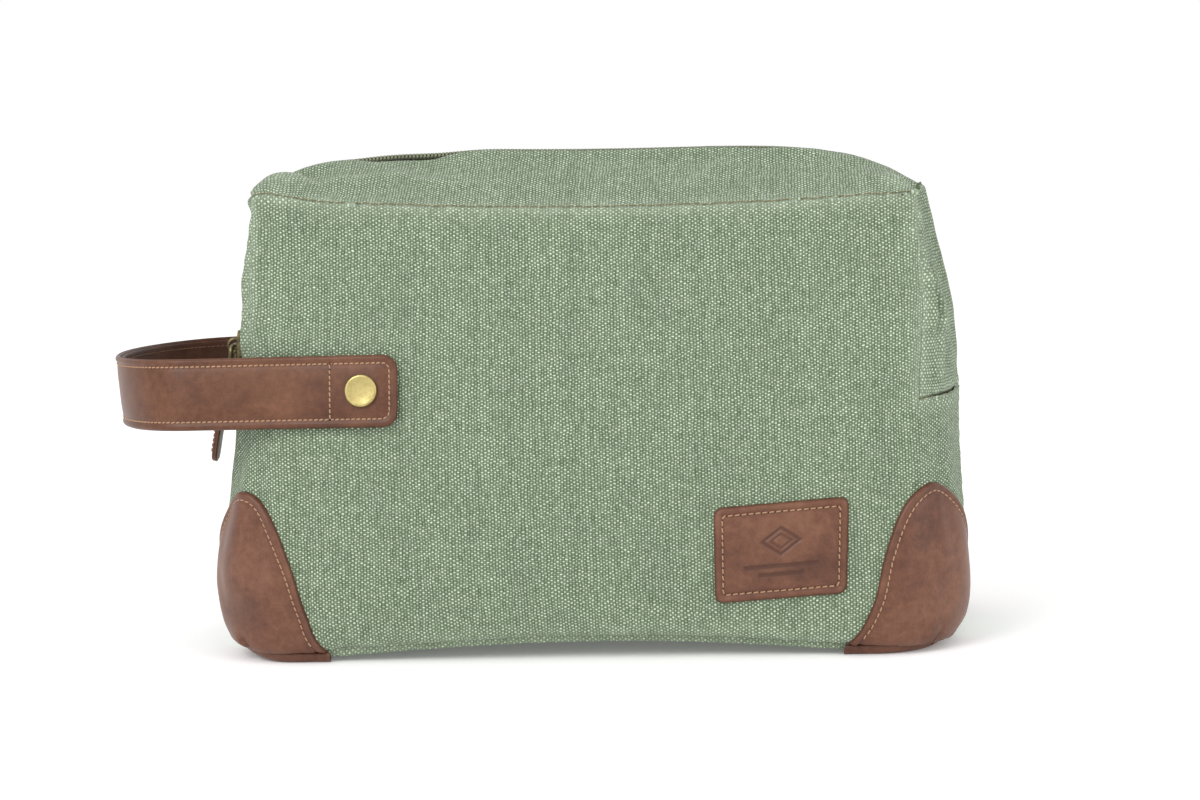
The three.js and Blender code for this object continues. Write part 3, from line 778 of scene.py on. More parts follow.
def woven_material(name, dark, light, pitch, contrast=1.0, wear_and_highlight_gain=0.5):
    """Plain-weave cloth drawn in the cloth's own thread coordinates, which are millimetres.

    Threads that run up the cloth show as rounded knots in every other cell of a grid, made light by a
    painted highlight; the cells between them, the threads that run across, and the grooves round every
    cell are painted shade.
    """
    s = Shade(name, CLOTH_FINISH)
    uv = s.node("UVMap", uv_map="thread_mm")
    across, down = thread_cells(s, uv, pitch)
    wave_across, wave_down = [s.math("SINE", s.times(cells, math.pi)) for cells in (across, down)]
    weave = s.times(wave_across, wave_down)
    narrow = s.math("POWER", s.math("ABSOLUTE", wave_across), 0.7)
    over = s.times(s.math("POWER", s.math("MAXIMUM", weave, 0.0), 0.6), narrow)
    under = s.math("POWER", s.math("MAXIMUM", s.times(weave, -1.0), 0.0), 0.6)
    column, row = s.math("FLOOR", across), s.math("FLOOR", down)
    cell = s.node("CombineXYZ", {0: column, 1: row})
    dot = s.node("TexWhiteNoise", {"Vector": cell}, noise_dimensions="2D")
    thread = s.node("TexWhiteNoise", {"W": column}, noise_dimensions="1D")
    streak = s.noise(s.stretched(uv, (0.6, 0.045, 0)), 1.0, 3.0)
    cross_streak = s.noise(s.stretched(uv, (0.04, 0.7, 0)), 1.0, 2.0)
    blotch = s.noise(uv, 0.05, 5.0, 0.6)
    slub = s.noise(s.stretched(uv, (0.9, 0.25, 0)), 1.0, 2.0)
    fibre = s.noise(uv, 3.0, 3.0, 0.7)
    # The knots' light is a painted highlight and the darker cells and grooves are painted shade, both
    # following the bump's height.
    shine = s.times(s.times(over, s.times(dot, 0.7, 0.6)), contrast)
    shine = s.varied(s.times(under, 0.2, shine), fibre, 0.4)
    colour = s.mixed(s.varied(shine, slub, 0.35, clamp=True), dark, light)
    level = 0.98
    for field, amount in ((streak, 0.35), (cross_streak, 0.25), (blotch, 0.22), (thread, 0.12)):
        level = s.varied(level, field, amount)
    colour = s.node("VectorMath", {0: colour, "Scale": level}, operation="SCALE")
    patchy = s.times(s.noise(uv, 0.35, 4.0), wear_and_highlight_gain)
    # Mixed towards the light colour by the painted number: worn canvas by the seams, and a painted
    # highlight on the crests of the creases.
    colour = s.mixed(s.times(s.painted("seam_wear_and_crease_highlight"), patchy, clamp=True), colour, light)
    height = s.times(fibre, 0.35, s.times(under, 0.45, s.times(dot, 0.2, over)))
    return s.surface(colour, height, 0.3, 0.9)


def leather_material(name, deep, middle, pale, roughness=0.42):
    """Smooth hide with cloudy dye, fine creases and pores, and painted shade that darkens its recesses.
    """
    s = Shade(name, HIDE_FINISH)
    place = s.place()
    mottle = s.noise(place, 330.0, 5.0, 0.65)
    tone = s.varied(0.5, s.noise(place, 48.0, 4.0, 0.55), 1.5)
    tone = s.varied(tone, mottle, 1.1)
    tone = s.varied(tone, s.noise(place, 1500.0, 3.0, 0.6), 0.5, clamp=True)
    low = s.mixed(s.times(tone, 2.0, clamp=True), deep, middle)
    colour = s.mixed(s.times(tone, 2.0, -1.0, clamp=True), low, pale)
    # Painted shade: the colour goes to the deep tone in debossed marks, in stitch ditches and at the
    # edge.
    colour = s.mixed(s.times(s.painted("recess_shade"), 0.8, clamp=True), colour, deep)
    pores = s.node("TexVoronoi", {"Vector": place, "Scale": 1700.0}, "Distance")
    height = s.times(s.noise(place, 560.0, 6.0, 0.7), 1.4, s.times(pores, 0.5))
    return s.surface(colour, height, 0.06, 0.6, s.times(mottle, 0.2, roughness - 0.1))


def thread_material(name, colour, shade):
    """Twisted sewing thread."""
    s = Shade(name, {"Roughness": 0.7})
    place = s.place()
    wave = {"Vector": place, "Scale": 900.0, "Distortion": 2.0}
    twist = s.node("TexWave", wave, "Fac", bands_direction="DIAGONAL")
    mix = s.times(twist, 0.35, s.times(s.noise(place, 160.0, 3.0), 0.7), clamp=True)
    return s.surface(s.mixed(mix, shade, colour), twist, 0.08, 0.6)


def brass_material(name, bright, tarnish, roughness=0.3):
    """Aged brass: cloudy tarnish, fine rubbing marks."""
    s = Shade(name, {"Metallic": 1.0})
    place = s.place()
    spots = s.noise(place, 1400.0, 3.0, 0.6)
    scratch = s.noise(s.stretched(place, (1.0, 1.0, 0.06)), 3200.0, 2.0)
    cloud = s.math("SUBTRACT", s.noise(place, 330.0, 6.0, 0.7), 0.52)
    age = s.varied(s.times(cloud, 3.0, 0.35), spots, 1.2, clamp=True)
    colour = s.mixed(age, bright, tarnish)
    return s.surface(colour, s.math("ADD", scratch, spots), 0.02, 0.5, s.times(age, 0.25, roughness))


def nylon_material(name, colour, shade):
    s = Shade(name, {"Specular IOR Level": 0.2})
    place = s.place()
    tone = s.noise(place, 240.0, 4.0)
    grain = s.noise(place, 2600.0, 2.0)
    return s.surface(s.mixed(tone, shade, colour), grain, 0.03, 0.5, s.times(tone, 0.2, 0.55))


def floor_material():
    finish = {"Roughness": 0.9, "Emission Color": rgb(1, 1, 1), "Emission Strength": 0.12}
    s = Shade("floor_paper", finish)
    tone = s.noise(s.place(), 6.0, 3.0)
    colour = s.mixed(tone, rgb(0.90, 0.90, 0.90), rgb(0.93, 0.93, 0.925))
    s.tree.links.new(colour, s.shader.inputs["Base Color"])
    return s.material


CLOTH_FINISH = {
    "Roughness": 0.92,
    "Specular IOR Level": 0.25,
    "Sheen Weight": 0.1,
    "Sheen Roughness": 0.5,
}
HIDE_FINISH = {"Specular IOR Level": 0.35, "Coat Weight": 0.08, "Coat Roughness": 0.3}

CANVAS = woven_material("sage_canvas", rgb(0.068, 0.106, 0.050), rgb(0.63, 0.72, 0.56), (1.07, 0.625))
TAPE = woven_material(
    "zip_tape_weave", rgb(0.075, 0.09, 0.05), rgb(0.21, 0.24, 0.15), (0.5, 0.5), 0.8, 0.0
)
LINING_CLOTH = woven_material(
    "lining_cotton", rgb(0.26, 0.23, 0.17), rgb(0.55, 0.50, 0.40), (0.45, 0.45), 0.8, 0.0
)
LEATHER = leather_material(
    "brown_leather", rgb(0.066, 0.021, 0.010), rgb(0.128, 0.048, 0.025), rgb(0.195, 0.083, 0.046)
)
STRAP_LEATHER = leather_material(
    "strap_leather", rgb(0.052, 0.014, 0.004), rgb(0.098, 0.033, 0.013), rgb(0.155, 0.060, 0.027)
)
BACKING = leather_material(
    "dark_leather", rgb(0.05, 0.018, 0.01), rgb(0.085, 0.032, 0.019), rgb(0.12, 0.05, 0.03), 0.5
)
TAN_THREAD = thread_material("tan_thread", rgb(0.50, 0.30, 0.18), rgb(0.25, 0.13, 0.07))
BROWN_THREAD = thread_material("brown_thread", rgb(0.20, 0.09, 0.05), rgb(0.10, 0.045, 0.025))
OLIVE_THREAD = thread_material("olive_thread", rgb(0.22, 0.18, 0.075), rgb(0.10, 0.08, 0.03))
BRASS = brass_material("aged_brass", rgb(0.54, 0.45, 0.19), rgb(0.34, 0.26, 0.10))
DARK_BRASS = brass_material("dark_brass", rgb(0.24, 0.20, 0.11), rgb(0.08, 0.065, 0.035), 0.38)
COIL_NYLON = nylon_material("olive_coil", rgb(0.25, 0.27, 0.18), rgb(0.12, 0.13, 0.085))
# Near-black discs of painted shade where the needle goes through.
HOLE_SHADE = leather_material(
    "needle_hole_shade", rgb(0.02, 0.008, 0.005), rgb(0.03, 0.012, 0.008), rgb(0.04, 0.016, 0.01), 0.8
)


# ---- general builders -------------------------------------------------------


def grid_faces(rows, columns, closed=False):
    """Quads of a grid numbered row by row; closed joins the last column to the first."""
    span = columns if closed else columns - 1
    i, j = np.meshgrid(np.arange(rows - 1), np.arange(span), indexing="ij")
    k = (j + 1) % columns
    low, high = i * columns, (i + 1) * columns
    return np.stack([low + j, low + k, high + k, high + j], -1).reshape(-1, 4)


def unit(v):
    v = np.asarray(v, float)
    return v / np.maximum(np.linalg.norm(v, axis=-1, keepdims=True), 1e-12)


def tube_faces(rings, sides):
    """Faces of a tube of rings, closed at both ends."""
    faces = grid_faces(rings, sides, True).tolist()
    last = (rings - 1) * sides
    return faces + [list(range(sides))[::-1], list(range(last, last + sides))]


def tube(points, radius, sides=8, closed=False, up=(0, 1, 0)):
    """Points and faces of a tube along a line, with capped ends unless it is closed."""
    points = np.asarray(points, float)
    if closed:
        tangent = unit(np.roll(points, -1, 0) - np.roll(points, 1, 0))
    else:
        tangent = unit(np.gradient(points, axis=0))
    side = unit(np.cross(tangent, np.broadcast_to(up, points.shape)))
    other = np.cross(side, tangent)
    turn = 2 * math.pi * np.arange(sides)[:, None] / sides
    ring = np.cos(turn) * side[:, None] + np.sin(turn) * other[:, None]
    radius = np.broadcast_to(radius, (len(points),))[:, None, None]
    vertices = (points[:, None] + radius * ring).reshape(-1, 3)
    if closed:
        return vertices, grid_faces(len(points) + 1, sides, True) % (len(points) * sides)
    return vertices, tube_faces(len(points), sides)


def lathe(profile, sides=48):
    """A turned form about +Z from [radius, height] points; a zero radius closes it."""
    angle = 2 * math.pi * np.arange(sides) / sides
    vertices, rows = [], []
    for radius, height in profile:
        here = angle if radius > 1e-6 else angle[:1]
        ring = np.column_stack([radius * np.cos(here), radius * np.sin(here), 0 * here + height])
        rows.append(len(vertices) + np.arange(sides) % len(here))
        vertices.extend(ring)
    faces = []
    for low, high in zip(rows, rows[1:]):
        for i in range(sides):
            j = (i + 1) % sides
            corners = [low[i], low[j], high[j], high[i]]
            faces.append(list(dict.fromkeys(corners)))
    return np.array(vertices), faces


def placed(vertices, origin, along, outward):
    """Local x, y, z set to along, outward x along, outward at the origin."""
    z = unit(outward)
    x = unit(np.asarray(along, float) - np.dot(along, z) * z)
    y = np.cross(z, x)
    return np.asarray(origin, float) + vertices @ np.array([x, y, z])


def solid(name, parts, material):
    """One object from several (vertices, faces)."""
    faces, start = [], 0
    for part_vertices, part_faces in parts:
        faces.extend([[int(i) + start for i in face] for face in part_faces])
        start += len(part_vertices)
    return new_object(name, np.vstack([vertices for vertices, _ in parts]), faces, material)


def ride(obj, body, slot, *nodes):
    """Fixes a piece to a body, in place of the frame's nodes, if any; slot is not used."""
    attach(obj, body)
    if nodes:
        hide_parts(*nodes)


def bevelled(obj, width_mm):
    edge = obj.modifiers.new("edge", "BEVEL")
    edge.width = width_mm * MM
    edge.segments = 2
    edge.limit_method = "ANGLE"
    return apply_modifiers(obj)


# Rows of stitches: pitch, length, thread radius and, where the needle shows, the radius of the dark
# disc of painted shade at its hole.
PATCH_SEWING = (2.3, 1.8, 0.29, 0.4)
LABEL_SEWING = (2.4, 1.85, 0.3, 0.42)
STRAP_SEWING = (1.9, 1.45, 0.3, 0.44)
STRAP_INNER_SEWING = (1.9, 1.5, 0.26)
TAB_SEWING = (1.9, 1.45, 0.24)
SEAM_SEWING = (3.2, 2.75, 0.21)

# A stitch's cross-sections: place along it, height and width, as shares of its own sizes.
STITCH_RINGS = (
    (-0.5, -0.55, 0.55),
    (-0.4, 0.1, 0.9),
    (-0.15, 0.42, 1.0),
    (0.15, 0.42, 1.0),
    (0.4, 0.1, 0.9),
    (0.5, -0.55, 0.55),
)


class Track:
    """A line of points with an outward normal at each, read by distance along it."""

    def __init__(self, points, outward, closed=False):
        loop = [*range(len(points)), 0] if closed else range(len(points))
        self.points = np.asarray(points, float)[loop]
        self.outward = np.asarray(outward, float)[loop]
        self.lengths = running_length(self.points)
        self.length = self.lengths[-1]

    def at(self, distance):
        place = interpolated(distance, self.lengths, self.points)
        return place, unit(interpolated(distance, self.lengths, self.outward))


def stitches(name, tracks, pitch, length, radius, material, lean=0.12):
    """Rows of stitches: each is a short thread that rises out of the material and dives back in."""
    parts = []
    widths = radius * np.array([width for _, _, width in STITCH_RINGS])
    for track in tracks:
        count = max(1, round(track.length / pitch))
        for n in range(count):
            ends = (n + 0.5 + np.array([-0.5, 0, 0.5]) * length / pitch) * track.length / count
            (a, _), (centre, normal), (b, _) = [track.at(end) for end in ends]
            along = unit(b - a)
            along = unit(along + np.cross(normal, along) * (lean + RANDOM.normal(0, 0.04)))
            lift = 1.3 * radius * RANDOM.uniform(0.75, 1.1)
            line = [centre + along * length * s + normal * lift * h for s, h, _ in STITCH_RINGS]
            parts.append(tube(line, widths, 6, up=normal))
    return solid(name, parts, material)


def needle_hole_shades(name, tracks, pitch, radius):
    """Small dark discs between the stitches of a row: painted shade standing for the needle's
    punctures.
    """
    parts = []
    disc, faces = lathe([(0, 0.045), (radius * 0.7, 0.04), (radius, 0.0)], 8)
    for track in tracks:
        count = max(1, round(track.length / pitch))
        for distance in np.arange(count + 1) * track.length / count:
            centre, normal = track.at(distance)
            parts.append((placed(disc, centre, (0.3, 0.2, 1.0), normal), faces))
    return solid(name, parts, HOLE_SHADE)


def sew(name, tracks, pitch, length, radius, hole):
    """Tan stitches and dark discs of painted shade for the needle's punctures between them, named for
    what they hold.
    """
    thread = stitches(f"stitches_{name}", tracks, pitch, length, radius, TAN_THREAD)
    return thread, needle_hole_shades(f"hole_shades_{name}", tracks, pitch, hole)


# ---- canvas pieces ----------------------------------------------------------


def flap_step(points):
    """The face panels' folded upper edge on the ends stands out over the foot of the gusset."""
    on_end = smoothstep(110, 118, np.abs(points[:, 0])) * (1 - smoothstep(36, 50, np.abs(points[:, 1])))
    below = FOOT - points[:, 2]
    return 1.9 * on_end * np.exp(-np.clip(below, 0, None) / 11) * (below > -2)


def slot_fold(points):
    """The hems beside the zip stand up over the coil, but not at the strap end or just above it."""
    from_edge = np.abs(points[:, 1]) - SLOT
    hem = np.exp(-((from_edge / 5.0) ** 2))
    slack = smoothstep(-88, -74, points[:, 0]) * (1 - smoothstep(-60, -40, points[:, 0]))
    on_top = smoothstep(TOP - 12, TOP + 4, points[:, 2])
    far_end = smoothstep(100, 115, points[:, 0]) * (1 - on_top)
    strap_end = smoothstep(-100, -112, points[:, 0]) * (1 - on_top)
    return hem * (0.6 + on_top * (1.2 - 2.2 * slack) + 1.2 * far_end - 1.6 * strap_end)


def tape_sink(points):
    return np.full(len(points), -1.15)


# Every kind of panel: its piece's name, its material, what pushes it out, its slot and its node.
PANEL_PIECES = (
    (PANEL, "canvas_{}", CANVAS, flap_step, "canvas", "{}_panel"),
    (GUSSET, "canvas_gusset_{}", CANVAS, slot_fold, "canvas", "gusset_{}"),
    (SLOT_STRIP, "tape_{}", TAPE, tape_sink, "zip_tape", "zip_tape_{}"),
)


def canvas_pieces(canvas):
    for side, back in (("front", 0), ("back", BACK)):
        for kind, name, material, shift, slot, node in PANEL_PIECES:
            piece = canvas.panel(name.format(side), [kind + back], material, shift)
            ride(piece, "bag", slot, node.format(side))
    bottom = canvas.panel("canvas_bottom", [BOTTOM, BOTTOM + BACK], CANVAS)
    ride(bottom, "bag", "canvas", "bottom_panel")


LINING_DEPTH = 7.5     # the loose lining hangs this far inside the canvas


def lining_piece():
    """A thin cotton bag that hangs just inside the canvas."""
    half = HalfShell()
    points, quads, panels, threads, _ = whole_shell(half)
    form = new_object("lining_form", points, quads)
    inner = points - normals(form.data) * LINING_DEPTH
    bpy.data.objects.remove(form)
    keep = (panels % BACK) != SLOT_STRIP
    lining = new_object("lining_bag", inner, quads[keep], LINING_CLOTH, threads[keep])
    ride(thicken(lining, 0.6), "bag", "lining", "lining")


# ---- leather patches --------------------------------------------------------

STITCH_INSET = 3.1     # the stitch row's distance in from a patch's edge


def around_corner(corner, run, height):
    """A place on the wall, run millimetres round from a corner's middle: positive onto the face,
    negative onto the end. Returns the place and a rough outward direction."""
    g = girth(height)
    arc = math.pi / 4 * g["radius"]
    flat_face = half_length(corner[0], g) - g["radius"]
    flat_end = g["depth"] - g["radius"]
    turn = math.pi / 4 + np.clip(run, -arc, arc) / g["radius"]
    x = corner[0] * (flat_face + g["radius"] * np.cos(turn) - np.clip(run - arc, 0, None))
    y = corner[1] * (flat_end + g["radius"] * np.sin(turn) - np.clip(-run - arc, 0, None))
    direction = np.array([corner[0] * np.cos(turn), corner[1] * np.sin(turn), 0.0])
    return np.array([x, y, rise(x, height)]), direction


def patch_edge(angle):
    """The curved edge of a corner patch at an angle from 0 (face side) to pi (end side)."""
    across, up = math.cos(angle), math.sin(angle)
    run = PATCH_HALF * math.copysign(abs(across) ** PATCH_POINT, across)
    height = BASE_SEAM + (PATCH_HEIGHT - BASE_SEAM) * max(up, 0) ** PATCH_POINT
    return np.array([run, height])


def leather_profile(inset, thick=1.5):
    """Height of a leather piece's outer face above the canvas, by distance in from its edge:
    a turned, rolled rim, the dip of the stitch row, then the field."""
    rim = np.sqrt(np.clip(1 - (1 - np.clip(inset / 1.1, 0, 1)) ** 2, 0, 1))
    roll = 0.45 * np.exp(-(((inset - 1.5) / 0.9) ** 2))
    ditch = -0.35 * np.exp(-(((inset - STITCH_INSET) / 0.7) ** 2))
    return -0.25 + (thick + 0.25) * rim + roll + ditch


def edge_shade(inset):
    """Painted shade on the leather by distance in from its edge: at the cut edge and in the ditch by
    the stitches.
    """
    rows = np.exp(-(((inset - STITCH_INSET) / 0.8) ** 2))
    return 0.9 * np.exp(-((inset / 0.5) ** 2)) + 0.45 * rows


def patch_point(canvas, corner, place, lowest, inset):
    """A point of a corner patch's outer face, at (run, height) on the wall, and its normal."""
    run, height = place
    hit, normal = canvas.seat(*around_corner(corner, run, max(height, lowest)))
    return hit + normal * leather_profile(inset), normal


def corner_sheet(name, corner, grid, node, recess_shade=None):
    """A grid of points on a corner as a sheet of leather with its outer face outward."""
    faces = grid_faces(*grid.shape[:2])
    if corner[0] * corner[1] < 0:
        faces = faces[:, ::-1]
    sheet = new_object(name, grid, faces, LEATHER)
    if recess_shade is not None:
        paint(sheet, "recess_shade", recess_shade)
    ride(thicken(sheet, 1.0), "bag", "leather", node)


def corner_patch(canvas, corner, name):
    """The leather over a corner, sewn along its curved edge."""
    steps, rings = 96, 26
    centre = np.array([0.0, BASE_SEAM])
    edge = np.array([patch_edge(angle) for angle in np.linspace(0.0, math.pi, steps + 1)])
    tangent = unit(np.gradient(edge, axis=0))
    reach = edge - centre
    span = np.maximum(6, np.abs(reach[:, 0] * tangent[:, 1] - reach[:, 1] * tangent[:, 0]))
    shares = 1 - (1 - np.linspace(0.0, 1.0, rings + 1)) ** 1.9
    insets = (1 - shares) * span[:, None]
    grid = np.empty((*insets.shape, 3))
    for i, j in np.ndindex(insets.shape):
        place = centre + reach[i] * shares[j]
        grid[i, j], _ = patch_point(canvas, corner, place, BASE_SEAM + 0.1, insets[i, j])
    node = f"corner_patch_{name}"
    # The patch's edge and stitch ditch get painted shade.
    corner_sheet(f"leather_patch_{name}", corner, grid, node, edge_shade(insets))
    sewn = []
    for i in range(2, steps - 1):
        place = centre + reach[i] * (1 - STITCH_INSET / span[i])
        sewn.append(patch_point(canvas, corner, place, BASE_SEAM + 0.5, STITCH_INSET))
    return Track(*zip(*sewn))


# The rim of a base corner: canvas height, distance out from it, height above the floor.
BASE_RIM = (
    (BASE_SEAM + 0.2, 1.0, 3.9),
    (BASE_SEAM - 0.4, 1.8, 3.1),
    (1.2, 1.9, 1.5),
    (0.3, 1.4, 0.45),
    (0, 0.5, 0.08),
)


def base_corner(corner, name):
    """The leather under a corner: a low rim below the base seam, turned in under the bag."""
    columns, inward = 49, 8
    runs = np.linspace(PATCH_HALF + 0.3, -PATCH_HALF - 0.3, columns)
    rows = []
    for height, out, z in BASE_RIM:
        row = []
        for run in runs * (1 - 0.085 * (1 - np.clip(height / BASE_SEAM, 0, 1))):
            place, direction = around_corner(corner, run, height)
            row.append([*(place + direction * out)[:2], z + end_lift(place[0])])
        rows.append(row)
    rim = np.array(rows[-1])
    centre = np.multiply(corner, BASE_CORNER)
    ends = rim[[0, -1], :2] - centre
    start, stop = np.arctan2(ends[:, 1], ends[:, 0])
    sweep = (stop - start + math.pi) % (2 * math.pi) - math.pi
    angle = start + sweep * np.linspace(0.03, 0.97, columns)
    reach = np.linspace(*np.hypot(*ends.T), columns)
    curve = centre + reach[:, None] * np.column_stack([np.cos(angle), np.sin(angle)])
    inner = np.column_stack([curve, np.full(columns, 0.05)])
    for share in np.linspace(0, 1, inward + 1)[1:]:
        rows.append(rim + (inner - rim) * share)
    grid = np.array(rows)
    grid[-1, :, 2] = 0.9
    corner_sheet(f"leather_base_{name}", corner, grid, f"base_corner_{name}")


def leather_corners(canvas):
    for side_y, face in ((-1, "front"), (1, "back")):
        for side_x, end in ((-1, "left"), (1, "right")):
            corner, name = (side_x, side_y), f"{face}_{end}"
            track = corner_patch(canvas, corner, name)
            base_corner(corner, name)
            for piece in sew(f"patch_{name}", [track], *PATCH_SEWING):
                ride(piece, "bag", "leather")


# ---- label ------------------------------------------------------------------


def rounded_inset(x, y, half_x, half_y, radius):
    """Distance in from the edge of a rounded rectangle."""
    dx = np.abs(x) - (half_x - radius)
    dy = np.abs(y) - (half_y - radius)
    corner = np.hypot(np.clip(dx, 0, None), np.clip(dy, 0, None))
    return radius - corner - np.clip(np.maximum(dx, dy), None, 0)


def groove(distance, width):
    return np.exp(-((distance / width) ** 4))


def label_motif(x, y):
    """How deep the label's mark is debossed, 0 to 1, which also sets its painted shade: a plain lozenge
    above two short bars.
    """
    lozenge = np.abs(x) / 6.4 + np.abs(y - 3.4) / 4.4
    marks = groove((lozenge - 1) * 3.6, 0.6) + 0.8 * groove((lozenge - 0.55) * 3.6, 0.45)
    for half_x, middle, half_y in ((12.5, -4.9, 0.45), (7.5, -7.7, 0.4)):
        outside = np.maximum(np.abs(x) - half_x, np.abs(y - middle) - half_y)
        marks += groove(np.clip(outside, 0, None), 0.35)
    return np.clip(marks, 0, 1)


def label_point(canvas, x, y, height):
    """A point of the label, x along it and y up it, this far above the canvas."""
    turn = LABEL_TILT
    x, y = x * (1.02 + 0.0008 * y) + 0.093 * y - 0.2, y * 1.04
    across = LABEL_CENTRE[0] + x * math.cos(turn) - y * math.sin(turn)
    up = LABEL_CENTRE[1] + x * math.sin(turn) + y * math.cos(turn)
    hit, normal = canvas.seat((across, -58, up), (0, -1, 0))
    return hit + normal * height, normal


def label(canvas):
    """The label patch with its debossed mark, sewn round its edge."""
    half_x, half_y, radius = LABEL_SIZE[0] / 2, LABEL_SIZE[1] / 2, 3.2
    xs, ys = graded(-half_x, half_x, 150, 0.25), graded(-half_y, half_y, 110, 0.25)
    points, recess_shade = [], []
    for y in ys:
        over = max(0.0, abs(y) - (half_y - radius))
        squeeze = (half_x - radius + math.sqrt(max(radius**2 - over**2, 0))) / half_x
        for x in xs * squeeze:
            inset = rounded_inset(x, y, half_x, half_y, radius)
            mark = label_motif(x, y)
            height = leather_profile(inset, LABEL_THICK) - 0.42 * mark
            points.append(label_point(canvas, x, y, height)[0])
            # Painted shade in the debossed mark, at the edge and in the stitch ditch.
            recess_shade.append(max(mark, edge_shade(inset)))
    piece = new_object("leather_label", points, grid_faces(len(ys), len(xs)), LEATHER)
    paint(piece, "recess_shade", recess_shade)
    ride(thicken(piece, 0.9), "bag", "leather", "label_patch")
    inset = 3.0
    height = leather_profile(inset, LABEL_THICK)
    outline = rounded_outline(half_x - inset, half_y - inset, 1.2)
    sewn = [label_point(canvas, x, y, height) for x, y in outline]
    for piece in sew("label", [Track(*zip(*sewn), closed=True)], *LABEL_SEWING):
        ride(piece, "bag", "leather")


def rounded_outline(half_x, half_y, radius, spacing=0.8):
    """Points round a rounded rectangle, starting on its lower edge."""
    x, y = half_x - radius, half_y - radius
    points = []
    for cx, cy, start in ((x, -y, -90), (x, y, 0), (-x, y, 90), (-x, -y, 180)):
        for angle in np.radians(np.linspace(start, start + 90, 6)):
            points.append((cx + radius * math.cos(angle), cy + radius * math.sin(angle)))
    points = np.array(points + points[:1])
    lengths = running_length(points)
    return interpolated(np.arange(0, lengths[-1], spacing), lengths, points)


# ---- strap ------------------------------------------------------------------


def face_depth(x, z):
    """Half-depth of the canvas face at a length and a height above the floor."""
    g = girth(z / (1 - TOP_SAG * (1 - (x / 121) ** 2) - TOP_TILT * x / 121))
    swell = g["face"] * np.clip(1 - (x / (g["left"] - g["radius"] / 2)) ** 2, 0, None)
    return g["depth"] + swell


def strap_plan(station, z):
    """Plan position of the strap's inner face: stations 0-1 on the face, 1-2 straight on past the
    corner, 2-3 round to the middle of the loop, 3-6 the same mirrored onto the back."""
    station = np.asarray(station, float)
    z = np.asarray(z, float)
    here = np.where(station > 3, 6 - station, station)
    share = (z - STRAP_HEIGHT + STRAP_HALF) / (2 * STRAP_HALF)
    reach = STRAP_REACH[0] + (STRAP_REACH[1] - STRAP_REACH[0]) * share
    straight = -STRAP_BEND - (STRAP_TURN - STRAP_BEND) * np.clip(here - 1, 0, 1)
    x = np.where(here < 1, -STRAP_END - (STRAP_BEND - STRAP_END) * here, straight)
    y = face_depth(np.maximum(x, -STRAP_BEND), z)
    turn = np.clip(here - 2, 0, 1) * math.pi / 2
    x = np.where(here > 2, -STRAP_TURN - reach * np.sin(turn), x)
    y = np.where(here > 2, y * np.cos(turn), y)
    return x, np.where(station > 3, y, -y)


class StrapPath:
    """The strap as a sheet: s millimetres from its front end, w millimetres up from its middle."""

    def __init__(self):
        self.stations = np.linspace(0, 6, 2401)
        self.lengths = running_length(np.column_stack(strap_plan(self.stations, STRAP_HEIGHT)))
        self.length = self.lengths[-1]

    def inner(self, s, w):
        station = np.interp(s, self.lengths, self.stations)
        z = STRAP_HEIGHT + w
        x, y = strap_plan(station, z)
        return np.stack(np.broadcast_arrays(x, y, z + 0.0 * x), -1)

    def place(self, s, w, height):
        """The point this far out from the strap's inner face, and the outward normal."""
        s, w, height = np.broadcast_arrays(*[np.asarray(v, float) for v in (s, w, height)])
        step = 0.6
        inside = np.clip(s, step, self.length - step)
        along = unit(self.inner(inside + step, w) - self.inner(inside - step, w))
        up = unit(self.inner(inside, w + step) - self.inner(inside, w - step))
        out = unit(np.cross(up, along))
        return self.inner(s, w) + out * height[..., None], out

    def track(self, line, height, outward=1, closed=False):
        """A line of (s, w) places this far out from the inner face, facing out or in (-1)."""
        points, out = self.place(line[:, 0], line[:, 1], height)
        return Track(points, outward * out, closed)


STRAP = StrapPath()
STRAP_CORNER = 5.5
STRAP_INSET = 2.9          # the stitch row's distance in from the strap's edge
STRAP_OUTER = (1.7, 3.3)   # the top layer's lower and upper faces above the canvas
STRAP_INNER = (0.35, 1.75)
RIVET_SEAT = 3.45
BOX_ROW = 24.0             # the row of stitches across each leg, from the strap's end
FREE_LOOP = 62.0           # where the strap's inner face starts to show, from its end


def strap_inset(s, w):
    """Distance in from the strap's outline."""
    middle = STRAP.length / 2
    return rounded_inset(s - middle, w, middle, STRAP_HALF, STRAP_CORNER)


def strap_grid(shrink):
    """Places (s, w) over the strap, crowded towards its outline, which is drawn in by shrink."""
    ends = graded(0, 12, 12, 0.4)
    middle = np.linspace(12, STRAP.length - 12, 190)
    s = np.concatenate([ends[:-1], middle, STRAP.length - ends[-2::-1]])
    s = shrink + (s / STRAP.length) * (STRAP.length - 2 * shrink)
    near_end = np.minimum(s, STRAP.length - s)
    near_end = np.clip(STRAP_CORNER - near_end, 0, STRAP_CORNER - 1e-3)
    half = STRAP_HALF - STRAP_CORNER + np.sqrt(STRAP_CORNER**2 - near_end**2) - shrink
    w = half[:, None] * graded(-1, 1, 26, 0.75)
    return np.broadcast_to(s[:, None], w.shape), w


def two_sided(rows, columns):
    """Faces between two grids of points, the outer one first, and round their edge."""
    faces = grid_faces(rows, columns)
    edge = np.concatenate([
        np.arange(columns),
        np.arange(1, rows) * columns + columns - 1,
        (rows - 1) * columns + np.arange(columns - 2, -1, -1),
        np.arange(rows - 2, 0, -1) * columns,
    ])
    following = np.roll(edge, -1)
    count = rows * columns
    rim = np.stack([edge, following, following + count, edge + count], -1)
    return np.vstack([faces[:, ::-1], faces + count, rim])


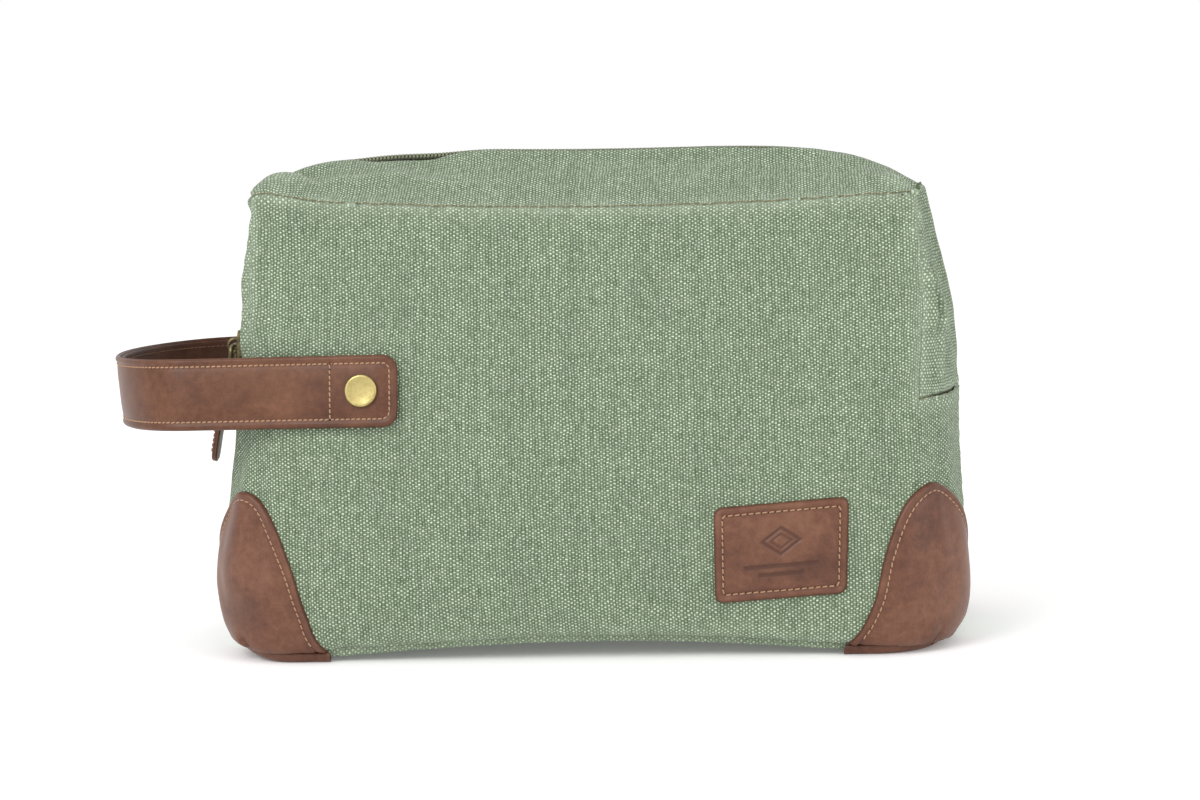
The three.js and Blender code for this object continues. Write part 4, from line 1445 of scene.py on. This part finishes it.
def strap_sheet(name, low, high, material, slot, rim=0.0, shrink=0.0):
    """One layer of the strap as a closed form with rounded edges."""
    s, w = strap_grid(shrink)
    inset = np.clip(strap_inset(s, w) - shrink, 0, None)
    middle, radius = (low + high) / 2, (high - low) / 2
    curve = np.sqrt(np.clip(1 - (1 - np.clip(inset / radius, 0, 1)) ** 2, 0, 1))
    roll = rim * np.exp(-(((inset - 1.3) / 0.8) ** 2)) * smoothstep(0, 0.6, inset)
    ditch = -rim * 0.9 * np.exp(-(((inset - STRAP_INSET) / 0.65) ** 2))
    pillow = rim * 0.5 * smoothstep(3, 8, inset)
    outer, _ = STRAP.place(s, w, middle + radius * curve + roll + ditch + pillow)
    inner, _ = STRAP.place(s, w, middle - radius * curve)
    obj = new_object(name, np.stack([outer, inner]), two_sided(*w.shape), material)
    blend_strap(obj)
    return obj


def blend_strap(obj):
    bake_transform(obj)


def strap_rows():
    """Stitch rows of the strap in (s, w): one right round the edge, and one across at each rivet."""
    middle, reach = STRAP.length / 2, STRAP_HALF - STRAP_INSET
    border = rounded_outline(middle - STRAP_INSET, reach, STRAP_CORNER - STRAP_INSET)
    border[:, 0] += middle
    w = np.linspace(-reach, reach, 24)
    across = [np.column_stack([np.full(24, s), w]) for s in (BOX_ROW, STRAP.length - BOX_ROW)]
    return border, across


def strap_pieces():
    """The strap's two layers and the stitches that show on each."""
    strap = strap_sheet("strap_outer", *STRAP_OUTER, STRAP_LEATHER, "leather", rim=0.35)
    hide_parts("strap_leg_front", "strap_leg_back", "strap_loop")
    backing = strap_sheet("strap_inner", *STRAP_INNER, BACKING, "leather_back", shrink=0.5)
    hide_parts("strap_backing_front", "strap_backing_back", "strap_loop_backing")
    border, across = strap_rows()
    outer = [STRAP.track(border, 3.0, closed=True)]
    outer += [STRAP.track(row, 3.42) for row in across]
    free = (border[:, 0] > FREE_LOOP) & (border[:, 0] < STRAP.length - FREE_LOOP)
    inner = []
    for edge in (border[:, 1] > 0, border[:, 1] <= 0):
        row = border[free & edge]
        inner.append(STRAP.track(row[np.argsort(row[:, 0])], 0.38, -1))
    for piece in sew("strap", outer, *STRAP_SEWING):
        blend_strap(piece)
    sewn = stitches("stitches_strap_inner", inner, *STRAP_INNER_SEWING, BROWN_THREAD)
    blend_strap(sewn)


def restyle(node, material):
    """Gives a piece that is shown as packed a material of this script's."""
    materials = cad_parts[node].data.materials
    materials.clear()
    materials.append(material)


# Half of a rivet cap's section, from under its middle round its turned edge to its top.
RIVET_CAP = (
    (0, -0.3),
    (4.4, -0.25),
    (5.3, 0.1),
    (5.72, 0.35),
    (5.78, 0.95),
    (5.65, 1.4),
    (5.35, 1.66),
    (5.0, 1.7),
    (4.7, 1.64),
    (0, 1.66),
)


def rivets():
    """Flat brass caps with a turned edge, seated on the strap, and their burrs inside."""
    s = abs(RIVET_X) - STRAP_END
    for at, name in ((s, "front"), (STRAP.length - s, "back")):
        seat, out = STRAP.place(at, 0.0, RIVET_SEAT)
        vertices, faces = lathe(RIVET_CAP, 64)
        cap = solid(f"rivet_{name}", [(placed(vertices, seat, (1, 0, 0), out), faces)], BRASS)
        ride(cap, "bag", "brass", f"rivet_cap_{name}")
        restyle(f"rivet_burr_{name}", DARK_BRASS)


# ---- zip --------------------------------------------------------------------


def smoothed(line, times):
    """The line with its inner points evened out."""
    for _ in range(times):
        line[1:-1] = (line[:-2] + 2 * line[1:-1] + line[2:]) / 4
    return line


def zip_line(canvas):
    """The middle line of the zip on the finished canvas, with outward normals in its plane."""
    heights = np.linspace(FOOT + 2, TOP, 40)
    left_x, _ = plan(np.zeros(40), heights)
    right_x, _ = plan(np.full(40, 8.0), heights)
    top_x = np.linspace(left_x[-1], right_x[-1], 120)[1:-1]
    top_z = rise(top_x, np.full_like(top_x, float(TOP))) + crown(top_x, np.zeros_like(top_x))
    x = np.concatenate([left_x, top_x, right_x[::-1]])
    z = np.concatenate([heights, top_z, heights[::-1]])
    line = smoothed(np.column_stack([x, 0 * x, z]), 10)
    along = unit(np.gradient(line, axis=0))
    normal = np.cross(along, (0, 1, 0))
    seated = np.array([canvas.seat(p, n)[0] for p, n in zip(line, normal)])
    return Track(smoothed(seated, 4), normal)


# A zip loop's wire: distance across from the zip's middle and height, in millimetres.
TOOTH = (
    (3.0, -0.95),
    (3.05, -0.15),
    (2.5, 0.45),
    (1.4, 0.73),
    (0.3, 0.69),
    (-0.55, 0.35),
    (-0.75, -0.35),
)
TOOTH_PITCH = 1.35


def zip_coils(canvas):
    """Two rows of nylon loops that mesh in the middle of the tapes, each round a cord."""
    track = zip_line(canvas)
    for side, name in ((-1, "front"), (1, "back")):
        parts = []
        start = 4.0 + (TOOTH_PITCH / 2 if side > 0 else 0)
        for distance in np.arange(start, track.length - 4.0, TOOTH_PITCH):
            place, out = track.at(distance)
            line = [place + (0, side * across, 0) + out * up for across, up in TOOTH]
            parts.append(tube(line, 0.44, 6, up=out))
        cord = track.points + (0, side * 1.5, 0) - track.outward * 0.55
        parts.append(tube(cord[2:-2], 0.75, 8))
        ride(solid(f"coil_{name}", parts, COIL_NYLON), "bag", "zip_coil", f"zip_coil_{name}")
    for name in ("zip_stop_left", "zip_stop_right"):
        restyle(name, DARK_BRASS)


def run_place(height, stand_off):
    """A point on the zip's straight run, this far out from the canvas surface."""
    x = RUN_START[0] + (height - RUN_START[1]) * math.tan(RUN_LEAN)
    return np.array([x, 0, height]) + stand_off * RUN_OUT


RUN_UP = np.array([math.sin(RUN_LEAN), 0, math.cos(RUN_LEAN)])
RUN_OUT = np.array([-math.cos(RUN_LEAN), 0, math.sin(RUN_LEAN)])


def prism(outline, low, high):
    """A flat outline in local x and y, given thickness along local z."""
    n = len(outline)
    vertices = np.vstack([np.column_stack([outline, np.full(n, z)]) for z in (low, high)])
    faces = [list(range(n))[::-1], list(range(n, 2 * n))]
    faces += [(i, (i + 1) % n, n + (i + 1) % n, n + i) for i in range(n)]
    return vertices, faces


def slider():
    """The zip's slider: a waisted upper plate with side flanges, a lower plate and an arched eye."""
    t = np.linspace(0, 1, 25)
    width = 3.5 + 1.6 * smoothstep(0.15, 0.75, t) - 0.9 * smoothstep(0.8, 1.0, t)
    edge = np.column_stack([12 * t - 6, width])
    outline = np.vstack([edge, edge[::-1] * (1, -1)])
    shapes = [prism(outline, COIL_TOP + 0.45, COIL_TOP + 1.85), prism(outline, -3.2, -2.2)]
    for side in (-1, 1):
        flange = edge[5:22] * (1, side)
        inner = flange[::-1] - (0, side * 0.9)
        line = np.vstack([flange, inner] if side < 0 else [inner, flange])
        shapes.append(prism(line, -0.7, COIL_TOP + 0.6))
    angle = np.radians(np.linspace(-35, 215, 17))
    arch = np.column_stack([2.3 * np.cos(angle), 0 * angle, EYE_HEIGHT + 2.05 * np.sin(angle)])
    shapes.append(tube(np.vstack([(3.1, 0, 2.0), arch, (-3.1, 0, 2.0)]), 0.72, 10))
    origin = run_place(SLIDER_HEIGHT, 0)
    shapes = [(placed(points, origin, RUN_UP, RUN_OUT), faces) for points, faces in shapes]
    body = bevelled(solid("zip_slider", shapes, DARK_BRASS), 0.28)
    ride(body, "zip_slider", "brass", "slider_body")


def hanging(lean):
    """Directions down and outward of a pull that leans out from the vertical."""
    down = np.array([-math.sin(lean), 0, -math.cos(lean)])
    return down, np.array([-math.cos(lean), 0, math.sin(lean)])


LINK_DOWN, _ = hanging(LINK_LEAN)
TAB_DOWN, TAB_OUT = hanging(TAB_LEAN)
EYE = run_place(SLIDER_HEIGHT, EYE_HEIGHT)
TAB_PIVOT = EYE + LINK_DROP * LINK_DOWN


def pull_link():
    """A rounded wire link through the slider's eye."""
    ring = []
    for x, y in rounded_outline(5.65, LINK_DROP / 2, 2.0, 0.7):
        ring.append(EYE + LINK_DOWN * (LINK_DROP / 2 - y) + (0, x, 0))
    up = np.cross(LINK_DOWN, (0, 1, 0))
    link = solid("pull_ring", [tube(ring, 0.82, 10, closed=True, up=up)], DARK_BRASS)
    ride(link, "pull_link", "brass", "pull_link")


def tab_bend(t):
    """How far the tab bows outward, t millimetres below its pivot."""
    return 0.54 * np.sin(math.pi * np.clip(t / TAB_LENGTH, 0, 1))


def tab_ring(t, turn):
    """The tab's cross-section t millimetres below its pivot, as points across and outward."""
    if t < 2.6:
        thick = math.sqrt(max(2.45**2 - t**2, 0.15))
    else:
        thick = 1.05 + 0.5 * math.exp(-(t - 2.6) / 2.5)
    if t > TAB_LENGTH - 0.6:
        thick *= 0.8
    near_end = max(0.0, t - (TAB_LENGTH - 4))
    half = 0.45 + math.sqrt(max(16 - near_end**2, 0))
    x = np.sign(np.cos(turn)) * np.abs(np.cos(turn)) ** 0.35 * max(half, 0.6)
    z = np.sign(np.sin(turn)) * np.abs(np.sin(turn)) ** 0.55 * thick
    fold = 0.14 * np.exp(-((z / 0.22) ** 2)) * (np.abs(x) > half * 0.93) * (t > 3)
    return x * (1 - fold), z


def tab_stitches():
    """Two rows of stitches down the tab."""
    t = np.linspace(5.5, TAB_LENGTH - 3.5, 24)
    out = 1.1 + 0.4 * np.exp((5.5 - t) / 2.5) + tab_bend(t)
    line = TAB_PIVOT + TAB_DOWN * t[:, None] + TAB_OUT * out[:, None]
    tracks = [Track(line + (0, y, 0), np.tile(TAB_OUT, (24, 1))) for y in (-3.2, 3.2)]
    return stitches("stitches_tab", tracks, *TAB_SEWING, TAN_THREAD)


def pull_tab():
    """A narrow leather strip folded round the link and sewn to itself."""
    rows = np.concatenate([
        np.linspace(-2.2, 2.6, 9),
        np.linspace(4, TAB_LENGTH - 5, 13),
        TAB_LENGTH - 5 + np.linspace(0.6, 5, 9),
    ])
    sides = 28
    turn = 2 * math.pi * np.arange(sides) / sides
    points = []
    for t in rows:
        x, z = tab_ring(t, turn)
        middle = TAB_PIVOT + TAB_DOWN * t + TAB_OUT * tab_bend(t)
        points.append(middle + x[:, None] * (0, 1, 0) + z[:, None] * TAB_OUT)
    tab = new_object("pull_strip", points, tube_faces(len(rows), sides), LEATHER)
    ride(tab, "pull_tab", "leather", "pull_tab")
    ride(tab_stitches(), "pull_tab", "leather")


# ---- canvas seams' thread ---------------------------------------------------


def seam_threads(canvas):
    """Thread that shows in the ditches of the top seams and of those at the gusset's feet."""
    tracks = []
    for name, line in canvas.seams.items():
        if name.startswith(("top", "foot")):
            shares, up = ((0.25, 1.2, 0), 12) if name.startswith("top") else ((1, 0, 0), 4)
            fine = polyline(line, 1.5)
            seats = [canvas.seat(point, unit(point * shares + (0, 0, up))) for point in fine]
            raised = [hit + normal * 0.45 for hit, normal in seats]
            tracks.append(Track(raised, [normal for _, normal in seats]))
    sewn = stitches("stitches_seams", tracks, *SEAM_SEWING, OLIVE_THREAD, lean=0.05)
    ride(sewn, "bag", "canvas")


# ---- scene ------------------------------------------------------------------


FLOOR = 6.0            # half the floor's side; this and the camera's distances are in metres
AZIMUTH = math.radians(4.5)
ELEVATION = math.radians(5.6)
ROLL = math.radians(1.7)
TARGET = (0.0035, 0, 0.086)
DISTANCE = 1.04
LENS = 84.5


def add(name, data):
    obj = bpy.data.objects.new(name, data)
    bpy.context.scene.collection.objects.link(obj)
    return obj


def add_area(name, location, power):
    """A square metre of light that faces the bag."""
    light = bpy.data.lights.new(name, "AREA")
    light.size = 1.0
    light.energy = power
    obj = add(name, light)
    obj.location = location
    aim = Vector((0, 0, 0.08)) - obj.location
    obj.rotation_euler = aim.to_track_quat("-Z", "Y").to_euler()


def studio():
    """Even white surroundings, two soft lights and a pale floor."""
    world = bpy.data.worlds.new("studio")
    world.use_nodes = True
    background = world.node_tree.nodes["Background"]
    background.inputs["Color"].default_value = (1, 1, 1, 1)
    background.inputs["Strength"].default_value = 1.0
    bpy.context.scene.world = world
    bpy.context.scene.view_settings.view_transform = "Standard"
    add_area("key", (-0.9, -1.3, 1.3), 16)
    add_area("fill", (1.3, -1.0, 0.7), 6)
    mesh = bpy.data.meshes.new("floor")
    corners = [(FLOOR * x, FLOOR * y, 0) for x, y in ((-1, -1), (1, -1), (1, 1), (-1, 1))]
    mesh.from_pydata(corners, [], [(0, 1, 2, 3)])
    mesh.materials.append(floor_material())
    add("floor", mesh)


def camera():
    data = bpy.data.cameras.new("camera")
    data.lens = LENS
    data.sensor_width = 36
    obj = add("camera", data)
    level = math.cos(ELEVATION)
    toward = (math.sin(AZIMUTH) * level, -math.cos(AZIMUTH) * level, math.sin(ELEVATION))
    toward = Vector(toward)
    obj.location = Vector(TARGET) + toward * DISTANCE
    aim = (-toward).to_track_quat("-Z", "Y").to_matrix()
    obj.rotation_euler = (aim @ Matrix.Rotation(-ROLL, 3, "Z")).to_euler()
    bpy.context.scene.camera = obj


def main():
    camera()
    studio()
    canvas = Canvas()
    canvas_pieces(canvas)
    lining_piece()
    leather_corners(canvas)
    label(canvas)
    strap_pieces()
    rivets()
    zip_coils(canvas)
    slider()
    pull_link()
    pull_tab()
    seam_threads(canvas)


main()
